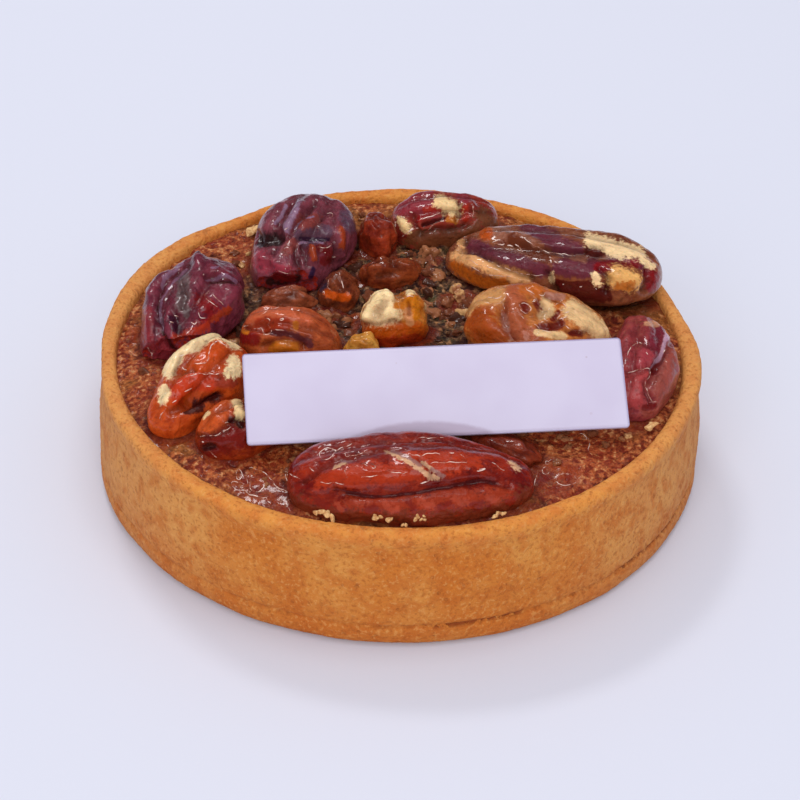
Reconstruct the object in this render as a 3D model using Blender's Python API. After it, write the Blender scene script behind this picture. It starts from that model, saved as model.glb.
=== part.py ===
"""A small pecan tart: a straight-sided shortcrust shell, a baked nut filling, glazed nuts and a name card.

Metres, +Z up. The origin is the centre of the flat base. -Y is the front, where the card faces.
"""

import math

import bmesh
import bpy
from mathutils import Matrix, Vector, noise

MM = 0.001
GAP = 0.3 * MM  # clearance between touching pieces

# Driving sizes of the shell
RIM_RADIUS = 40.0 * MM
BASE_RADIUS = 40.5 * MM
SHELL_HEIGHT = 17.2 * MM
WALL = 2.6 * MM
FLOOR = 2.6 * MM
WAIST = 0.45 * MM  # how far the wall draws in below the rim
SEAM_HEIGHT = 3.2 * MM  # where the side band meets the base disc
SEAM_DEPTH = 0.30 * MM
SHELL_STEPS = 72

# Driving sizes of the filling
FILLING_EDGE = 16.1 * MM  # its level against the wall
FILLING_DOME = 0.9 * MM  # how much higher it stands in the middle
FILLING_LUMP = 0.45 * MM
FILLING_RINGS = 12
FILLING_STEPS = 64

# Driving sizes of the card
CARD_WIDTH = 48.3 * MM
CARD_HEIGHT = 12.1 * MM
CARD_THICK = 0.5 * MM
CARD_CORNER = 0.8 * MM
CARD_CENTRE = (4.64 * MM, -17.67 * MM, 22.75 * MM)
CARD_TILT = 34.0  # degrees from level
CARD_YAW = 6.6

# Pecan halves: sides round the girth and rings along the length
PECAN_SIDES = 16
PECAN_RINGS = 12
GROOVES = (0.38, -0.38)  # where the two grooves of the round side run, of the half width
GROOVE_SPREAD = 0.15
END_FULLNESS = 0.78  # below 1 gives blunter ends than an ellipsoid
SQUARENESS = 2.6  # above 2 gives fuller shoulders than an ellipse

CRUST_COLOUR = (0.62, 0.33, 0.11, 1.0)
FILLING_COLOUR = (0.20, 0.075, 0.028, 1.0)
BRICK_COLOUR = (0.33, 0.055, 0.018, 1.0)
PLUM_COLOUR = (0.085, 0.018, 0.024, 1.0)
PALE_NUT_COLOUR = (0.62, 0.36, 0.15, 1.0)
CARD_COLOUR = (0.84, 0.81, 0.90, 1.0)


def clear_scene():
    for thing in list(bpy.data.objects):
        bpy.data.objects.remove(thing)


def collection(name):
    made = bpy.data.collections.new(name)
    bpy.context.scene.collection.children.link(made)
    return made


def material(name, colour, roughness):
    made = bpy.data.materials.new(name)
    made.use_nodes = True
    shader = made.node_tree.nodes["Principled BSDF"]
    shader.inputs["Base Color"].default_value = colour
    shader.inputs["Roughness"].default_value = roughness
    shader.inputs["Metallic"].default_value = 0.0
    return made


def add_object(name, form, group, finish=None):
    mesh = bpy.data.meshes.new(name)
    form.to_mesh(mesh)
    form.free()
    mesh.shade_smooth()
    mesh.set_sharp_from_angle(angle=math.radians(50))
    if finish:
        mesh.materials.append(finish)
    made = bpy.data.objects.new(name, mesh)
    group.objects.link(made)
    return made


def bump(offset, spread):
    """A bell curve of height 1."""
    return math.exp(-((offset / spread) ** 2))


def angle_between(a, b):
    """The shorter way round from a to b, in degrees."""
    return abs((a - b + 180.0) % 360.0 - 180.0)


def turned(profile, steps):
    """A closed solid turned about Z from (radius, height) points that start and end on the axis."""
    form = bmesh.new()
    points = [form.verts.new((radius, 0.0, height)) for radius, height in profile]
    edges = [form.edges.new(pair) for pair in zip(points, points[1:])]
    bmesh.ops.spin(
        form,
        geom=points + edges,
        cent=(0, 0, 0),
        axis=(0, 0, 1),
        dvec=(0, 0, 0),
        angle=2 * math.pi,
        steps=steps,
        use_merge=True,
    )
    bmesh.ops.remove_doubles(form, verts=form.verts, dist=0.02 * MM)
    bmesh.ops.recalc_face_normals(form, faces=form.faces)
    return form


def shell_profile():
    """Half of the shell's section, from the middle of its underside round to the middle of its floor."""
    inner = RIM_RADIUS - WALL
    seam = SEAM_HEIGHT
    return [
        (0, 0),
        (BASE_RADIUS - 1.1 * MM, 0),
        (BASE_RADIUS - 0.3 * MM, 0.4 * MM),
        (BASE_RADIUS, 1.3 * MM),
        (BASE_RADIUS, seam - 0.6 * MM),
        (BASE_RADIUS - SEAM_DEPTH, seam),
        (BASE_RADIUS, seam + 0.6 * MM),
        (BASE_RADIUS - 0.1 * MM, 0.48 * SHELL_HEIGHT),
        (RIM_RADIUS + 0.1 * MM - 0.5 * WAIST, 0.70 * SHELL_HEIGHT),
        (RIM_RADIUS - WAIST, 0.85 * SHELL_HEIGHT),
        (RIM_RADIUS - 0.1 * MM, 0.93 * SHELL_HEIGHT),
        (RIM_RADIUS - 0.25 * MM, 0.975 * SHELL_HEIGHT),
        (RIM_RADIUS - 0.9 * MM, SHELL_HEIGHT),
        (inner + 0.6 * MM, SHELL_HEIGHT - 0.1 * MM),
        (inner + 0.1 * MM, SHELL_HEIGHT - 0.6 * MM),
        (inner, 0.8 * SHELL_HEIGHT),
        (inner - 0.4 * MM, FLOOR + 2.0 * MM),
        (inner - 1.6 * MM, FLOOR),
        (0, FLOOR),
    ]


# Places round the rim (degrees from +X) where the hand-lined wall bulges or draws in: swell and spread in degrees
RIM_SWELLS = (
    (88, 0.45 * MM, 9),
    (152, 0.75 * MM, 15),
    (358, 0.25 * MM, 9),
    (127, -0.40 * MM, 7),
    (187, -0.40 * MM, 10),
    (17, -0.35 * MM, 8),
    (240, 0.35 * MM, 22),
)


def rim_swell(angle):
    return sum(size * bump(angle_between(angle, place), spread) for place, size, spread in RIM_SWELLS)


def shape_shell(form):
    """Hand-made unevenness: the outer wall wanders, the rim rises and dips, and the seam opens in places."""
    inner = RIM_RADIUS - WALL
    for v in form.verts:
        radius = math.hypot(v.co.x, v.co.y)
        if radius < inner + 0.05 * MM or v.co.z < 0.01 * MM:
            continue
        angle = math.degrees(math.atan2(v.co.y, v.co.x)) % 360.0
        rise = v.co.z / SHELL_HEIGHT
        swell = rim_swell(angle) * (0.35 + 0.65 * rise)
        swell += 0.18 * MM * noise.noise(v.co / (7 * MM))
        if abs(v.co.z - SEAM_HEIGHT) < 0.1 * MM:
            swell -= SEAM_DEPTH * noise.noise(v.co / (4 * MM))
        outwards = min(1.0, (radius - inner) / (0.6 * WALL))
        v.co.xy *= 1 + swell * outwards / radius
        if rise > 0.9:
            v.co.z += 0.22 * MM * noise.noise(Vector((v.co.x, v.co.y, 0)) / (9 * MM))
    for axis in (0, 1):
        spans = [v.co[axis] for v in form.verts]
        middle = 0.5 * (min(spans) + max(spans))
        for v in form.verts:
            v.co[axis] -= middle


def filling_level(x, y):
    """Height of the baked surface: a low dome with soft lumps."""
    reach = min(1.0, math.hypot(x, y) / (RIM_RADIUS - WALL))
    level = FILLING_EDGE + FILLING_DOME * (1 - reach**4)
    lumps = noise.noise(Vector((x, y, 0)) / (5.5 * MM)) + 0.6 * noise.noise(Vector((x, y, 9)) / (2.6 * MM))
    return level + FILLING_LUMP * lumps * (1 - 0.6 * reach**6)


def make_filling():
    side = RIM_RADIUS - WALL - GAP
    top = FILLING_EDGE
    rings = [side * (1 - 0.02) * (1 - ring / FILLING_RINGS) for ring in range(FILLING_RINGS)]
    profile = [(0, FLOOR + GAP), (side - 1.8 * MM, FLOOR + GAP), (side - 0.5 * MM, FLOOR + 2.3 * MM)]
    profile += [(side - 0.05 * MM, 0.78 * SHELL_HEIGHT), (side, top - 0.3 * MM)]
    profile += [(radius, top) for radius in rings] + [(0, top)]
    form = turned(profile, FILLING_STEPS)
    for v in form.verts:
        if v.co.z > top - 0.35 * MM:
            v.co.z += filling_level(v.co.x, v.co.y) - top
    return form


def pecan(
    length,
    width,
    rise,
    depth,
    groove=0.30,
    grooves=GROOVES,
    drift=0.0,
    taper=0.10,
    bend=0.0,
    snap=1.0,
    skew=0.0,
    scallop=0.05,
    lump=0.03,
    seed=0,
    sides=PECAN_SIDES,
):
    """One pecan half along X, round side up: two grooves leave three ridges, and a cleft runs below.

    The sizes are metres; groove, taper, scallop and lump are shares of the girth. Drift slants the grooves.
    Snap cuts the +X end short, and skew slants that break.
    """
    form = bmesh.new()
    lay_down = Matrix.Rotation(math.radians(90), 3, "Y").to_4x4()
    bmesh.ops.create_uvsphere(
        form, u_segments=sides, v_segments=PECAN_RINGS, radius=1.0, matrix=lay_down
    )
    for v in form.verts:
        along = v.co.x
        girth = math.hypot(v.co.y, v.co.z)
        across, up = (v.co.y / girth, v.co.z / girth) if girth > 1e-5 else (0.0, 0.0)
        full = girth**END_FULLNESS * (1 - taper * along)
        if up > 0:
            full *= (abs(across) ** SQUARENESS + up**SQUARENESS) ** (-1 / SQUARENESS)
            trench = max(bump(across - place - drift * along, GROOVE_SPREAD) for place in grooves)
        else:
            trench = 0.6 * bump(across, 0.2)
        full *= 1 - groove * trench * (1 - along**4)
        full *= 1 + scallop * math.sin(5.2 * along + seed) * across**2
        full *= 1 + lump * noise.noise(v.co * 2.3 + Vector((seed, 0, 0)))
        limit = snap
        if snap < 1:
            limit += skew * across * girth + 0.05 * noise.noise(Vector((seed, v.co.y * 4, v.co.z * 4)))
        v.co = (
            0.5 * length * min(along, limit),
            0.5 * width * full * across + bend * (1 - along**2),
            (rise if up > 0 else depth) * full * up,
        )
    bmesh.ops.recalc_face_normals(form, faces=form.faces)
    return form


def nut_piece(length, width, height, cleft=0.0, lump=0.22, detail=3, seed=0):
    """A broken piece of nut: a rounded lump with knobs, and a cleft across it where two lobes meet."""
    form = bmesh.new()
    bmesh.ops.create_icosphere(form, subdivisions=detail, radius=1.0)
    for v in form.verts:
        shift = Vector((seed * 3.1, seed * 1.7, 0))
        knob = noise.noise(v.co * 1.25 + shift) + 0.45 * noise.noise(v.co * 2.8 + shift)
        grow = 1 + lump * knob - cleft * bump(v.co.x - 0.1, 0.22) * max(0.0, v.co.z)
        v.co = (0.5 * length * v.co.x * grow, 0.5 * width * v.co.y * grow, 0.5 * height * v.co.z * grow)
    bmesh.ops.recalc_face_normals(form, faces=form.faces)
    return form


def placing(place, yaw, pitch=0.0, roll=0.0):
    """Where a nut lies: its middle in millimetres, its heading, nose-up pitch and roll in degrees."""
    turn = (
        Matrix.Rotation(math.radians(yaw), 4, "Z")
        @ Matrix.Rotation(math.radians(-pitch), 4, "Y")
        @ Matrix.Rotation(math.radians(roll), 4, "X")
    )
    return Matrix.Translation(Vector(place) * MM) @ turn


def lay_nut(name, make, sizes, where, finish, group, cutters):
    """Adds one nut, and the slightly larger copy of it that hollows the filling where the nut is sunk."""
    nut = add_object(name, make(**sizes), group, finish)
    nut.matrix_world = where
    swollen = make(**sizes)
    swollen.normal_update()
    for v, outwards in [(v, v.normal.copy()) for v in swollen.verts]:
        v.co += outwards * GAP
    cutter = add_object(name + "_hollow", swollen, cutters)
    cutter.matrix_world = where
    cutter.hide_render = True
    cutter.display_type = "WIRE"
    return nut


def sized(length, width, *heights, **more):
    """Sizes in millimetres for pecan() (length, width, rise, depth) or nut_piece() (length, width, height)."""
    names = ("rise", "depth") if len(heights) == 2 else ("height",)
    sizes = {"length": length * MM, "width": width * MM}
    sizes.update({name: value * MM for name, value in zip(names, heights)})
    return {**sizes, **more}


def lay_nuts(group, cutters):
    brick = material("brick_nut", BRICK_COLOUR, 0.25)
    plum = material("plum_nut", PLUM_COLOUR, 0.22)
    pale = material("pale_nut", PALE_NUT_COLOUR, 0.35)
    halves = {
        "pecan_front": (
            sized(30.5, 13.4, 4.9, 2.8, seed=1, grooves=(0.56, -0.62), drift=0.22, sides=28),
            placing((1.7, -30.0, 17.5), 2, 0, 10),
            brick,
        ),
        "pecan_left": (
            sized(21, 12.6, 4.8, 2.6, seed=2, scallop=0.08, snap=0.80, skew=-0.26),
            placing((-28.2, 4.6, 18.0), 253, -5, 4),
            plum,
        ),
        "pecan_back_left": (
            sized(21, 13.4, 5.0, 2.6, seed=3, snap=0.84, skew=-0.2),
            placing((-14.1, 21.0, 18.2), 254, -4, 0),
            plum,
        ),
        "pecan_back": (sized(15.4, 10.2, 4.2, 2.4, seed=4), placing((5.9, 29.0, 17.7), 5, 3, 4), brick),
        "pecan_back_right": (
            sized(30.2, 14.4, 5.0, 2.4, seed=5, scallop=0.06),
            placing((20.8, 16.8, 18.6), 166, -3, 2),
            plum,
        ),
        "pecan_middle": (sized(13.6, 9.0, 5.5, 2.4, seed=6), placing((-14.5, -1.9, 17.8), -8), brick),
        "pecan_left_front": (
            sized(18.0, 10.0, 4.9, 2.4, seed=7, scallop=0.08, taper=-0.22),
            placing((-26.1, -12.4, 17.6), 61, 5, 6),
            brick,
        ),
        "pecan_lobe": (sized(13.6, 8.4, 3.9, 2.2, seed=10), placing((-19.1, -19.9, 17.2), 30, 2), brick),
        "pecan_right": (
            sized(20.5, 8.8, 3.9, 2.2, seed=8, bend=-1.3 * MM),
            placing((30.7, -5.0, 17.8), 84, 3, 5),
            brick,
        ),
        "pecan_prop_right": (sized(21, 9.6, 5.1, 3.4, seed=9), placing((8.0, -13.1, 18.4), 8), brick),
        "pecan_prop_left": (sized(8.2, 8.6, 4.8, 2.4, seed=19), placing((-7.7, -16.8, 17.7), 4), brick),
    }
    pieces = {
        "nut_pale": (sized(20, 16.5, 11.8, lump=0.14, seed=11), placing((18.1, -0.2, 19.1), -14, -8), pale),
        "walnut_gold": (sized(9.2, 8.0, 10.6, cleft=0.4, lump=0.14, seed=12), placing((-0.8, 3.4, 18.3), 10), pale),
        "piece_back": (sized(5.4, 7.2, 7.8, detail=2, seed=13), placing((-3.6, 24.5, 17.9), 10), brick),
        "piece_flat": (sized(7.4, 3.8, 4.8, detail=2, seed=14), placing((-15.3, 9.0, 17.4), 12), brick),
        "piece_amber": (sized(6.4, 5.4, 6.2, detail=2, seed=15), placing((-8.6, 11.0, 17.7), 60), brick),
        "piece_brown": (sized(8.4, 4.6, 6.2, detail=2, cleft=0.3, seed=16), placing((-1.6, 15.4, 17.9), 14), brick),
        "piece_gold": (sized(5.0, 4.6, 5.8, detail=2, seed=17), placing((-5.0, -3.0, 17.7), 0), pale),
        "piece_low": (sized(10.0, 5.2, 4.6, detail=2, seed=20), placing((13.6, -22.0, 16.8), -30), brick),
    }
    for make, table in ((pecan, halves), (nut_piece, pieces)):
        for name, (sizes, where, finish) in table.items():
            lay_nut(name, make, sizes, where, finish, group, cutters)


def make_card():
    """A thin rectangle with rounded corners."""
    form = bmesh.new()
    bmesh.ops.create_cube(form, size=1.0)
    bmesh.ops.scale(form, vec=(CARD_WIDTH, CARD_HEIGHT, CARD_THICK), verts=form.verts)
    corners = [e for e in form.edges if abs(e.verts[0].co.z - e.verts[1].co.z) > 0.5 * CARD_THICK]
    bmesh.ops.bevel(form, geom=corners, offset=CARD_CORNER, segments=4, affect="EDGES", profile=0.5)
    return form


def main():
    clear_scene()
    tart = collection("pecan_tart")
    cutters = collection("nut_hollows")

    form = turned(shell_profile(), SHELL_STEPS)
    shape_shell(form)
    add_object("shell", form, tart, material("shortcrust", CRUST_COLOUR, 0.75))

    filling = add_object("filling", make_filling(), tart, material("baked_filling", FILLING_COLOUR, 0.45))
    lay_nuts(tart, cutters)
    hollows = filling.modifiers.new("nut_hollows", "BOOLEAN")
    hollows.operation = "DIFFERENCE"
    hollows.operand_type = "COLLECTION"
    hollows.collection = cutters
    hollows.solver = "EXACT"

    card = add_object("card", make_card(), tart, material("card_stock", CARD_COLOUR, 0.5))
    card.matrix_world = (
        Matrix.Translation(CARD_CENTRE)
        @ Matrix.Rotation(math.radians(CARD_YAW), 4, "Z")
        @ Matrix.Rotation(math.radians(CARD_TILT), 4, "X")
    )


main()
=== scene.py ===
import math
import random

import bpy
import numpy as np
from mathutils import Matrix, Vector, noise


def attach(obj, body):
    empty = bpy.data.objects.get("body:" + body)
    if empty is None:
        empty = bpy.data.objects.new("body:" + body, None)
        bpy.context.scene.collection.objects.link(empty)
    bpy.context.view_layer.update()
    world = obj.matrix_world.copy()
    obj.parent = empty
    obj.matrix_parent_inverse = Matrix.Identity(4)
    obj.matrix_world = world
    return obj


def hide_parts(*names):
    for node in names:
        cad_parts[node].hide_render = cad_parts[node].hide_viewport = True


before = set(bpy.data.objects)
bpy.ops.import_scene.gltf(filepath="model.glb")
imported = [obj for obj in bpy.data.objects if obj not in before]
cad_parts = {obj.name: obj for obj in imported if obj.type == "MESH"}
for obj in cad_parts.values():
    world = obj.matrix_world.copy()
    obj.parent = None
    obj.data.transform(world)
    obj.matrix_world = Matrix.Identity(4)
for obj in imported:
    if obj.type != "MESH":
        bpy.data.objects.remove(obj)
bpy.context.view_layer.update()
bpy.ops.object.select_all(action="DESELECT")
mm = 0.001
view = {
    "aside": 0.133 * mm,
    "distance": 0.350,
    "fromLevel": 37.5947,  # how high the camera stands above the table, degrees
    "tiltDown": 36.5238,
    "roll": 1.3208,
    "lens": 114.95,
}


# small helpers for meshes


def newest(name):
    made = bpy.context.object
    made.name = name
    made.data.name = name
    return made


def pickOnly(thing):
    bpy.ops.object.select_all(action="DESELECT")
    thing.select_set(True)
    bpy.context.view_layer.objects.active = thing


def copyOf(master):
    copied = master.copy()
    copied.data = master.data.copy()
    bpy.context.collection.objects.link(copied)
    return copied


def joined(things, name):
    bpy.ops.object.select_all(action="DESELECT")
    for thing in things:
        thing.select_set(True)
    bpy.context.view_layer.objects.active = things[0]
    bpy.ops.object.join()
    return newest(name)


def faceOutwards(thing, merge=0):  # once points nearer than merge have become one
    pickOnly(thing)
    bpy.ops.object.mode_set(mode="EDIT")
    bpy.ops.mesh.select_all(action="SELECT")
    if merge:
        bpy.ops.mesh.remove_doubles(threshold=merge)
    bpy.ops.mesh.normals_make_consistent(inside=False)
    bpy.ops.object.mode_set(mode="OBJECT")


def spotsOf(thing):  # vertex places as rows of x, y, z
    spots = np.empty(len(thing.data.vertices) * 3)
    thing.data.vertices.foreach_get("co", spots)
    return spots.reshape(-1, 3)


def moveSpots(thing, spots):
    thing.data.vertices.foreach_set("co", np.ascontiguousarray(spots, dtype=np.float64).ravel())
    thing.data.update()


def keepValue(thing, name, values):  # one number a vertex, which the material reads
    layer = thing.data.attributes.new(name, "FLOAT", "POINT")
    layer.data.foreach_set("value", np.ascontiguousarray(values, dtype=np.float32))


def keepPlace(thing, name, spots):  # three numbers a vertex, for patterns that follow the surface
    layer = thing.data.attributes.new(name, "FLOAT_VECTOR", "POINT")
    layer.data.foreach_set("vector", np.ascontiguousarray(spots, dtype=np.float32).ravel())


def lumps(spots, size, seed=0.0):  # smooth noise from about -1 to 1
    return np.array([noise.noise(spot) for spot in (spots / size + seed).tolist()])


def bell(offset, spread):
    return np.exp(-((offset / spread) ** 2))


def ramp(low, high, value):  # smooth step
    part = np.clip((value - low) / (high - low), 0, 1)
    return part * part * (3 - 2 * part)


def cameraPlace():
    rise = math.radians(view["fromLevel"])
    turn = Matrix.Rotation(math.radians(90 - view["tiltDown"]), 4, "X")
    turn = turn @ Matrix.Rotation(math.radians(view["roll"]), 4, "Z")
    stand = Vector((view["aside"], -view["distance"] * math.cos(rise), view["distance"] * math.sin(rise)))
    return Matrix.Translation(stand) @ turn


def asSeen(spots, centre):  # millimetres right of and above the centre, as the camera shows them
    inward = np.array(cameraPlace().inverted())
    near = spots @ inward[:3, :3].T + inward[:3, 3]
    middle = inward[:3, :3] @ np.array(centre) + inward[:3, 3]
    flat = near[:, :2] / near[:, 2:] * middle[2]
    return (flat - middle[:2]) / mm


def facingCamera(thing, spots):
    outward = np.empty(len(spots) * 3)
    thing.data.vertices.foreach_get("normal", outward)
    outward = outward.reshape(-1, 3)
    toCamera = np.array(cameraPlace().translation) - spots
    toCamera /= np.linalg.norm(toCamera, axis=1)[:, None]
    return outward, ramp(-0.05, 0.20, np.sum(outward * toCamera, axis=1))


def alongStroke(seen, width, line):  # 1 on a soft line through the points of the line, falling off beside it
    points = np.array(line).reshape(-1, 2)
    away = np.full(len(seen), 1e3)
    for start, stop in zip(points[:-1], points[1:]):
        leg = stop - start
        part = np.clip((seen - start) @ leg / max(leg @ leg, 1e-9), 0, 1)
        away = np.minimum(away, np.hypot(*(seen - start - part[:, None] * leg).T))
    return np.exp(-0.7 * (away / width) ** 2)


def strokeValue(seen, strokes):  # each stroke: half width, then right and up of every point, mm
    value = np.zeros(len(seen))
    for width, *line in strokes:
        value = np.maximum(value, alongStroke(seen, width, line))
    return value


def finishPiece(thing, finish, *nodes, sharp=60):
    thing.data.materials.clear()
    thing.data.materials.append(finish)
    pickOnly(thing)
    bpy.ops.object.shade_smooth_by_angle(angle=math.radians(sharp))
    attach(thing, "root")
    if nodes:
        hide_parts(*nodes)
    print("made", thing.name, len(thing.data.polygons), "faces")


# shader maths: a Wire is one socket, a Paint is one material


class Wire:
    def __init__(self, paint, socket):
        self.paint = paint
        self.socket = socket

    def maths(self, operation, first, second):
        return self.paint.add("ShaderNodeMath", {"operation": operation}, {0: first, 1: second})

    def __add__(self, other):
        return self.maths("ADD", self, other)

    def __radd__(self, other):
        return self.maths("ADD", other, self)

    def __sub__(self, other):
        return self.maths("SUBTRACT", self, other)

    def __rsub__(self, other):
        return self.maths("SUBTRACT", other, self)

    def __mul__(self, other):
        return self.maths("MULTIPLY", self, other)

    def __rmul__(self, other):
        return self.maths("MULTIPLY", other, self)

    def __truediv__(self, other):
        return self.maths("DIVIDE", self, other)

    def __abs__(self):
        return self.paint.add("ShaderNodeMath", {"operation": "ABSOLUTE"}, {0: self})

    def atMost(self, other):
        return self.maths("MINIMUM", self, other)


class Paint:
    def __init__(self, name):
        self.material = bpy.data.materials.new(name)
        self.material.use_nodes = True
        self.tree = self.material.node_tree
        self.shader = self.tree.nodes["Principled BSDF"]

    def plug(self, socket, value):
        if isinstance(value, Wire):
            self.tree.links.new(value.socket, socket)
        else:
            socket.default_value = value

    def add(self, kind, settings, values, output=0):
        node = self.tree.nodes.new(kind)
        for setting, value in settings.items():
            setattr(node, setting, value)
        for socket, value in values.items():
            self.plug(node.inputs[socket], value)
        return Wire(self, node.outputs[output])

    def set(self, **values):  # sockets of the shader, by name with spaces left out
        for socket in self.shader.inputs:
            key = socket.name.replace(" ", "")
            if key in values:
                self.plug(socket, values[key])

    def objectPlace(self):
        return self.add("ShaderNodeTexCoord", {}, {}, "Object")

    def kept(self, name):
        return self.add("ShaderNodeAttribute", {"attribute_name": name}, {}, "Fac")

    def keptPlace(self, name):
        return self.add("ShaderNodeAttribute", {"attribute_name": name}, {}, "Vector")

    def stretched(self, place, x, y, z):
        return self.add("ShaderNodeVectorMath", {"operation": "MULTIPLY"}, {0: place, 1: (x, y, z)})

    def cloud(self, place, size, detail=2.0, roughness=0.5, distortion=0.0):
        values = {"Vector": place, "Scale": 1 / size, "Detail": detail, "Roughness": roughness}
        return self.add("ShaderNodeTexNoise", {}, {**values, "Distortion": distortion})

    def axis(self, place, name):
        return self.add("ShaderNodeSeparateXYZ", {}, {0: place}, name)

    def cells(self, place, size):  # distance to the nearest of many scattered points
        return self.add("ShaderNodeTexVoronoi", {}, {"Vector": place, "Scale": 1 / size})

    def step(self, low, high, value):
        values = {"Value": value, "From Min": low, "From Max": high}
        return self.add("ShaderNodeMapRange", {"interpolation_type": "SMOOTHSTEP"}, values)

    def blend(self, amount, first, second):  # of two colours
        return self.add("ShaderNodeMix", {"data_type": "RGBA"}, {0: amount, 6: first, 7: second}, 2)

    def scaled(self, colour, amount):
        return self.add("ShaderNodeVectorMath", {"operation": "SCALE"}, {0: colour, "Scale": amount})

    def relief(self, height):  # height in millimetres
        return self.add("ShaderNodeBump", {}, {"Strength": 1.0, "Distance": mm, "Height": height})


def tone(red, green, blue):  # a colour as it looks on a screen, 0 to 255
    def linear(value):
        value /= 255
        return value / 12.92 if value <= 0.04045 else ((value + 0.055) / 1.055) ** 2.4
    return (linear(red), linear(green), linear(blue), 1.0)


def wetTone(red, green, blue):  # the same for glazed things, whose gloss adds its own light
    return tuple(max(0.004, part - 0.014) for part in tone(red, green, blue)[:3]) + (1.0,)


def mixed(tones, makeTone=tone):  # a dictionary of tones made ready for a material
    return {part: makeTone(*colour) for part, colour in tones.items()}


# camera, floor and light


stageLooks = {
    "floor": (216, 219, 231),
    "room": (0.93, 0.93, 1.0, 1.0),
    "roomStrength": 0.66,
    "boxes": {  # place, size, watts and colour of each soft box
        "backBox": ((-0.18, 0.42, 0.62), (0.16, 0.09), 1.1, (1.0, 0.99, 1.0)),
        "topBox": ((0.10, 0.02, 0.95), (0.40, 0.40), 1.6, (1.0, 0.99, 0.985)),
        "frontBox": ((-0.10, -0.82, 0.55), (0.80, 0.45), 3.8, (1.0, 0.985, 0.98)),
    },
}


def setStage():
    bpy.ops.object.camera_add()
    camera = newest("photoCamera")
    camera.matrix_world = cameraPlace()
    camera.data.lens = view["lens"]
    camera.data.sensor_width = 36
    camera.data.clip_start = 0.01
    bpy.context.scene.camera = camera

    bpy.ops.mesh.primitive_plane_add(size=6.0, location=(0, 0, 0))
    floor = newest("floor")
    paper = Paint("paleFloor")
    paper.set(BaseColor=tone(*stageLooks["floor"]), Roughness=0.7, SpecularIORLevel=0.1)
    floor.data.materials.append(paper.material)

    for name, (place, size, watts, colour) in stageLooks["boxes"].items():
        bpy.ops.object.light_add(type="AREA", location=place)
        box = newest(name)
        box.data.shape = "RECTANGLE"
        box.data.size, box.data.size_y = size
        box.data.energy = watts
        box.data.color = colour
        box.visible_glossy = name != "frontBox"  # so wide a box would lie on the glaze as a milky sheen
        box.rotation_euler = (Vector((0, 0, 0.01)) - Vector(place)).to_track_quat("-Z", "Y").to_euler()

    world = bpy.data.worlds.new("softRoom")
    world.use_nodes = True
    room = world.node_tree.nodes["Background"].inputs
    room["Color"].default_value = stageLooks["room"]
    room["Strength"].default_value = stageLooks["roomStrength"]
    world.cycles_visibility.glossy = False  # the glaze mirrors the soft boxes alone
    bpy.context.scene.world = world
    bpy.context.scene.view_settings.view_transform = "Standard"
    bpy.context.scene.view_settings.look = "None"
    print("stage set")


# the shortcrust shell

shellSizes = {
    "rimRadius": 40.0 * mm,
    "baseRadius": 40.5 * mm,
    "height": 17.2 * mm,
    "wall": 2.6 * mm,
    "floor": 2.6 * mm,
    "waist": 0.45 * mm,
    "seamHeight": 3.2 * mm,
    "seamDepth": 0.30 * mm,
    "crackDepth": 0.18 * mm,
    "wave": 0.18 * mm,  # how uneven the wall is
    "rimWave": 0.22 * mm,
    "rimPits": 0.12 * mm,
    "grain": 0.055 * mm,
    "fineGrain": 0.045 * mm,
    "turns": 560,
    "swells": (  # angle round the rim, swell, spread in degrees
        (88, 0.45 * mm, 9), (152, 0.75 * mm, 15), (358, 0.25 * mm, 9), (127, -0.40 * mm, 7),
        (187, -0.40 * mm, 10), (17, -0.35 * mm, 8), (240, 0.35 * mm, 22),
    ),
}
crustTones = {
    "wall": (200, 116, 44), "wallPale": (212, 142, 68), "wallSide": (216, 160, 100),
    "wallToasted": (188, 100, 36), "wallFoot": (190, 98, 38),
    "rim": (222, 147, 68), "rimToasted": (210, 125, 56), "rimSide": (212, 150, 90),
    "paleSand": (228, 170, 100), "darkSand": (160, 84, 34), "freckle": (146, 80, 38),
    "crack": (130, 54, 26), "pit": (140, 76, 36),
}


def shellProfile():
    s = shellSizes
    rim, base, high, seam = s["rimRadius"], s["baseRadius"], s["height"], s["seamHeight"]
    inner = rim - s["wall"]
    corners = np.array([
        (0, 0), (base - 1.1 * mm, 0), (base - 0.3 * mm, 0.4 * mm), (base, 1.3 * mm),
        (base, seam - 0.5 * mm), (base - s["seamDepth"], seam), (base, seam + 0.5 * mm),
        (base - 0.1 * mm, 0.48 * high), (rim + 0.1 * mm - 0.5 * s["waist"], 0.70 * high),
        (rim - s["waist"], 0.85 * high), (rim - 0.1 * mm, 0.93 * high), (rim - 0.25 * mm, 0.975 * high),
        (rim - 0.9 * mm, high), (inner + 0.6 * mm, high - 0.1 * mm), (inner + 0.1 * mm, high - 0.6 * mm),
        (inner, 0.8 * high), (inner - 0.4 * mm, s["floor"] + 2.0 * mm), (inner - 1.6 * mm, s["floor"]),
        (0, s["floor"]),
    ])
    for _ in range(2):  # round the corners a little
        first, second = corners[:-1], corners[1:]
        cut = np.stack([0.82 * first + 0.18 * second, 0.18 * first + 0.82 * second], axis=1).reshape(-1, 2)
        corners = np.vstack([corners[:1], cut, corners[-1:]])
    walk = np.concatenate([[0], np.cumsum(np.hypot(*np.diff(corners, axis=0).T))])
    wallStart, wallEnd = base - 2.0 * mm, walk[-1] - inner - 9 * mm
    stops = np.concatenate([
        np.linspace(0, wallStart, 24),
        np.linspace(wallStart, wallEnd, 104)[1:],
        np.linspace(wallEnd, walk[-1], 30)[1:],
    ])
    return np.interp(stops, walk, corners[:, 0]), np.interp(stops, walk, corners[:, 1])


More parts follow.
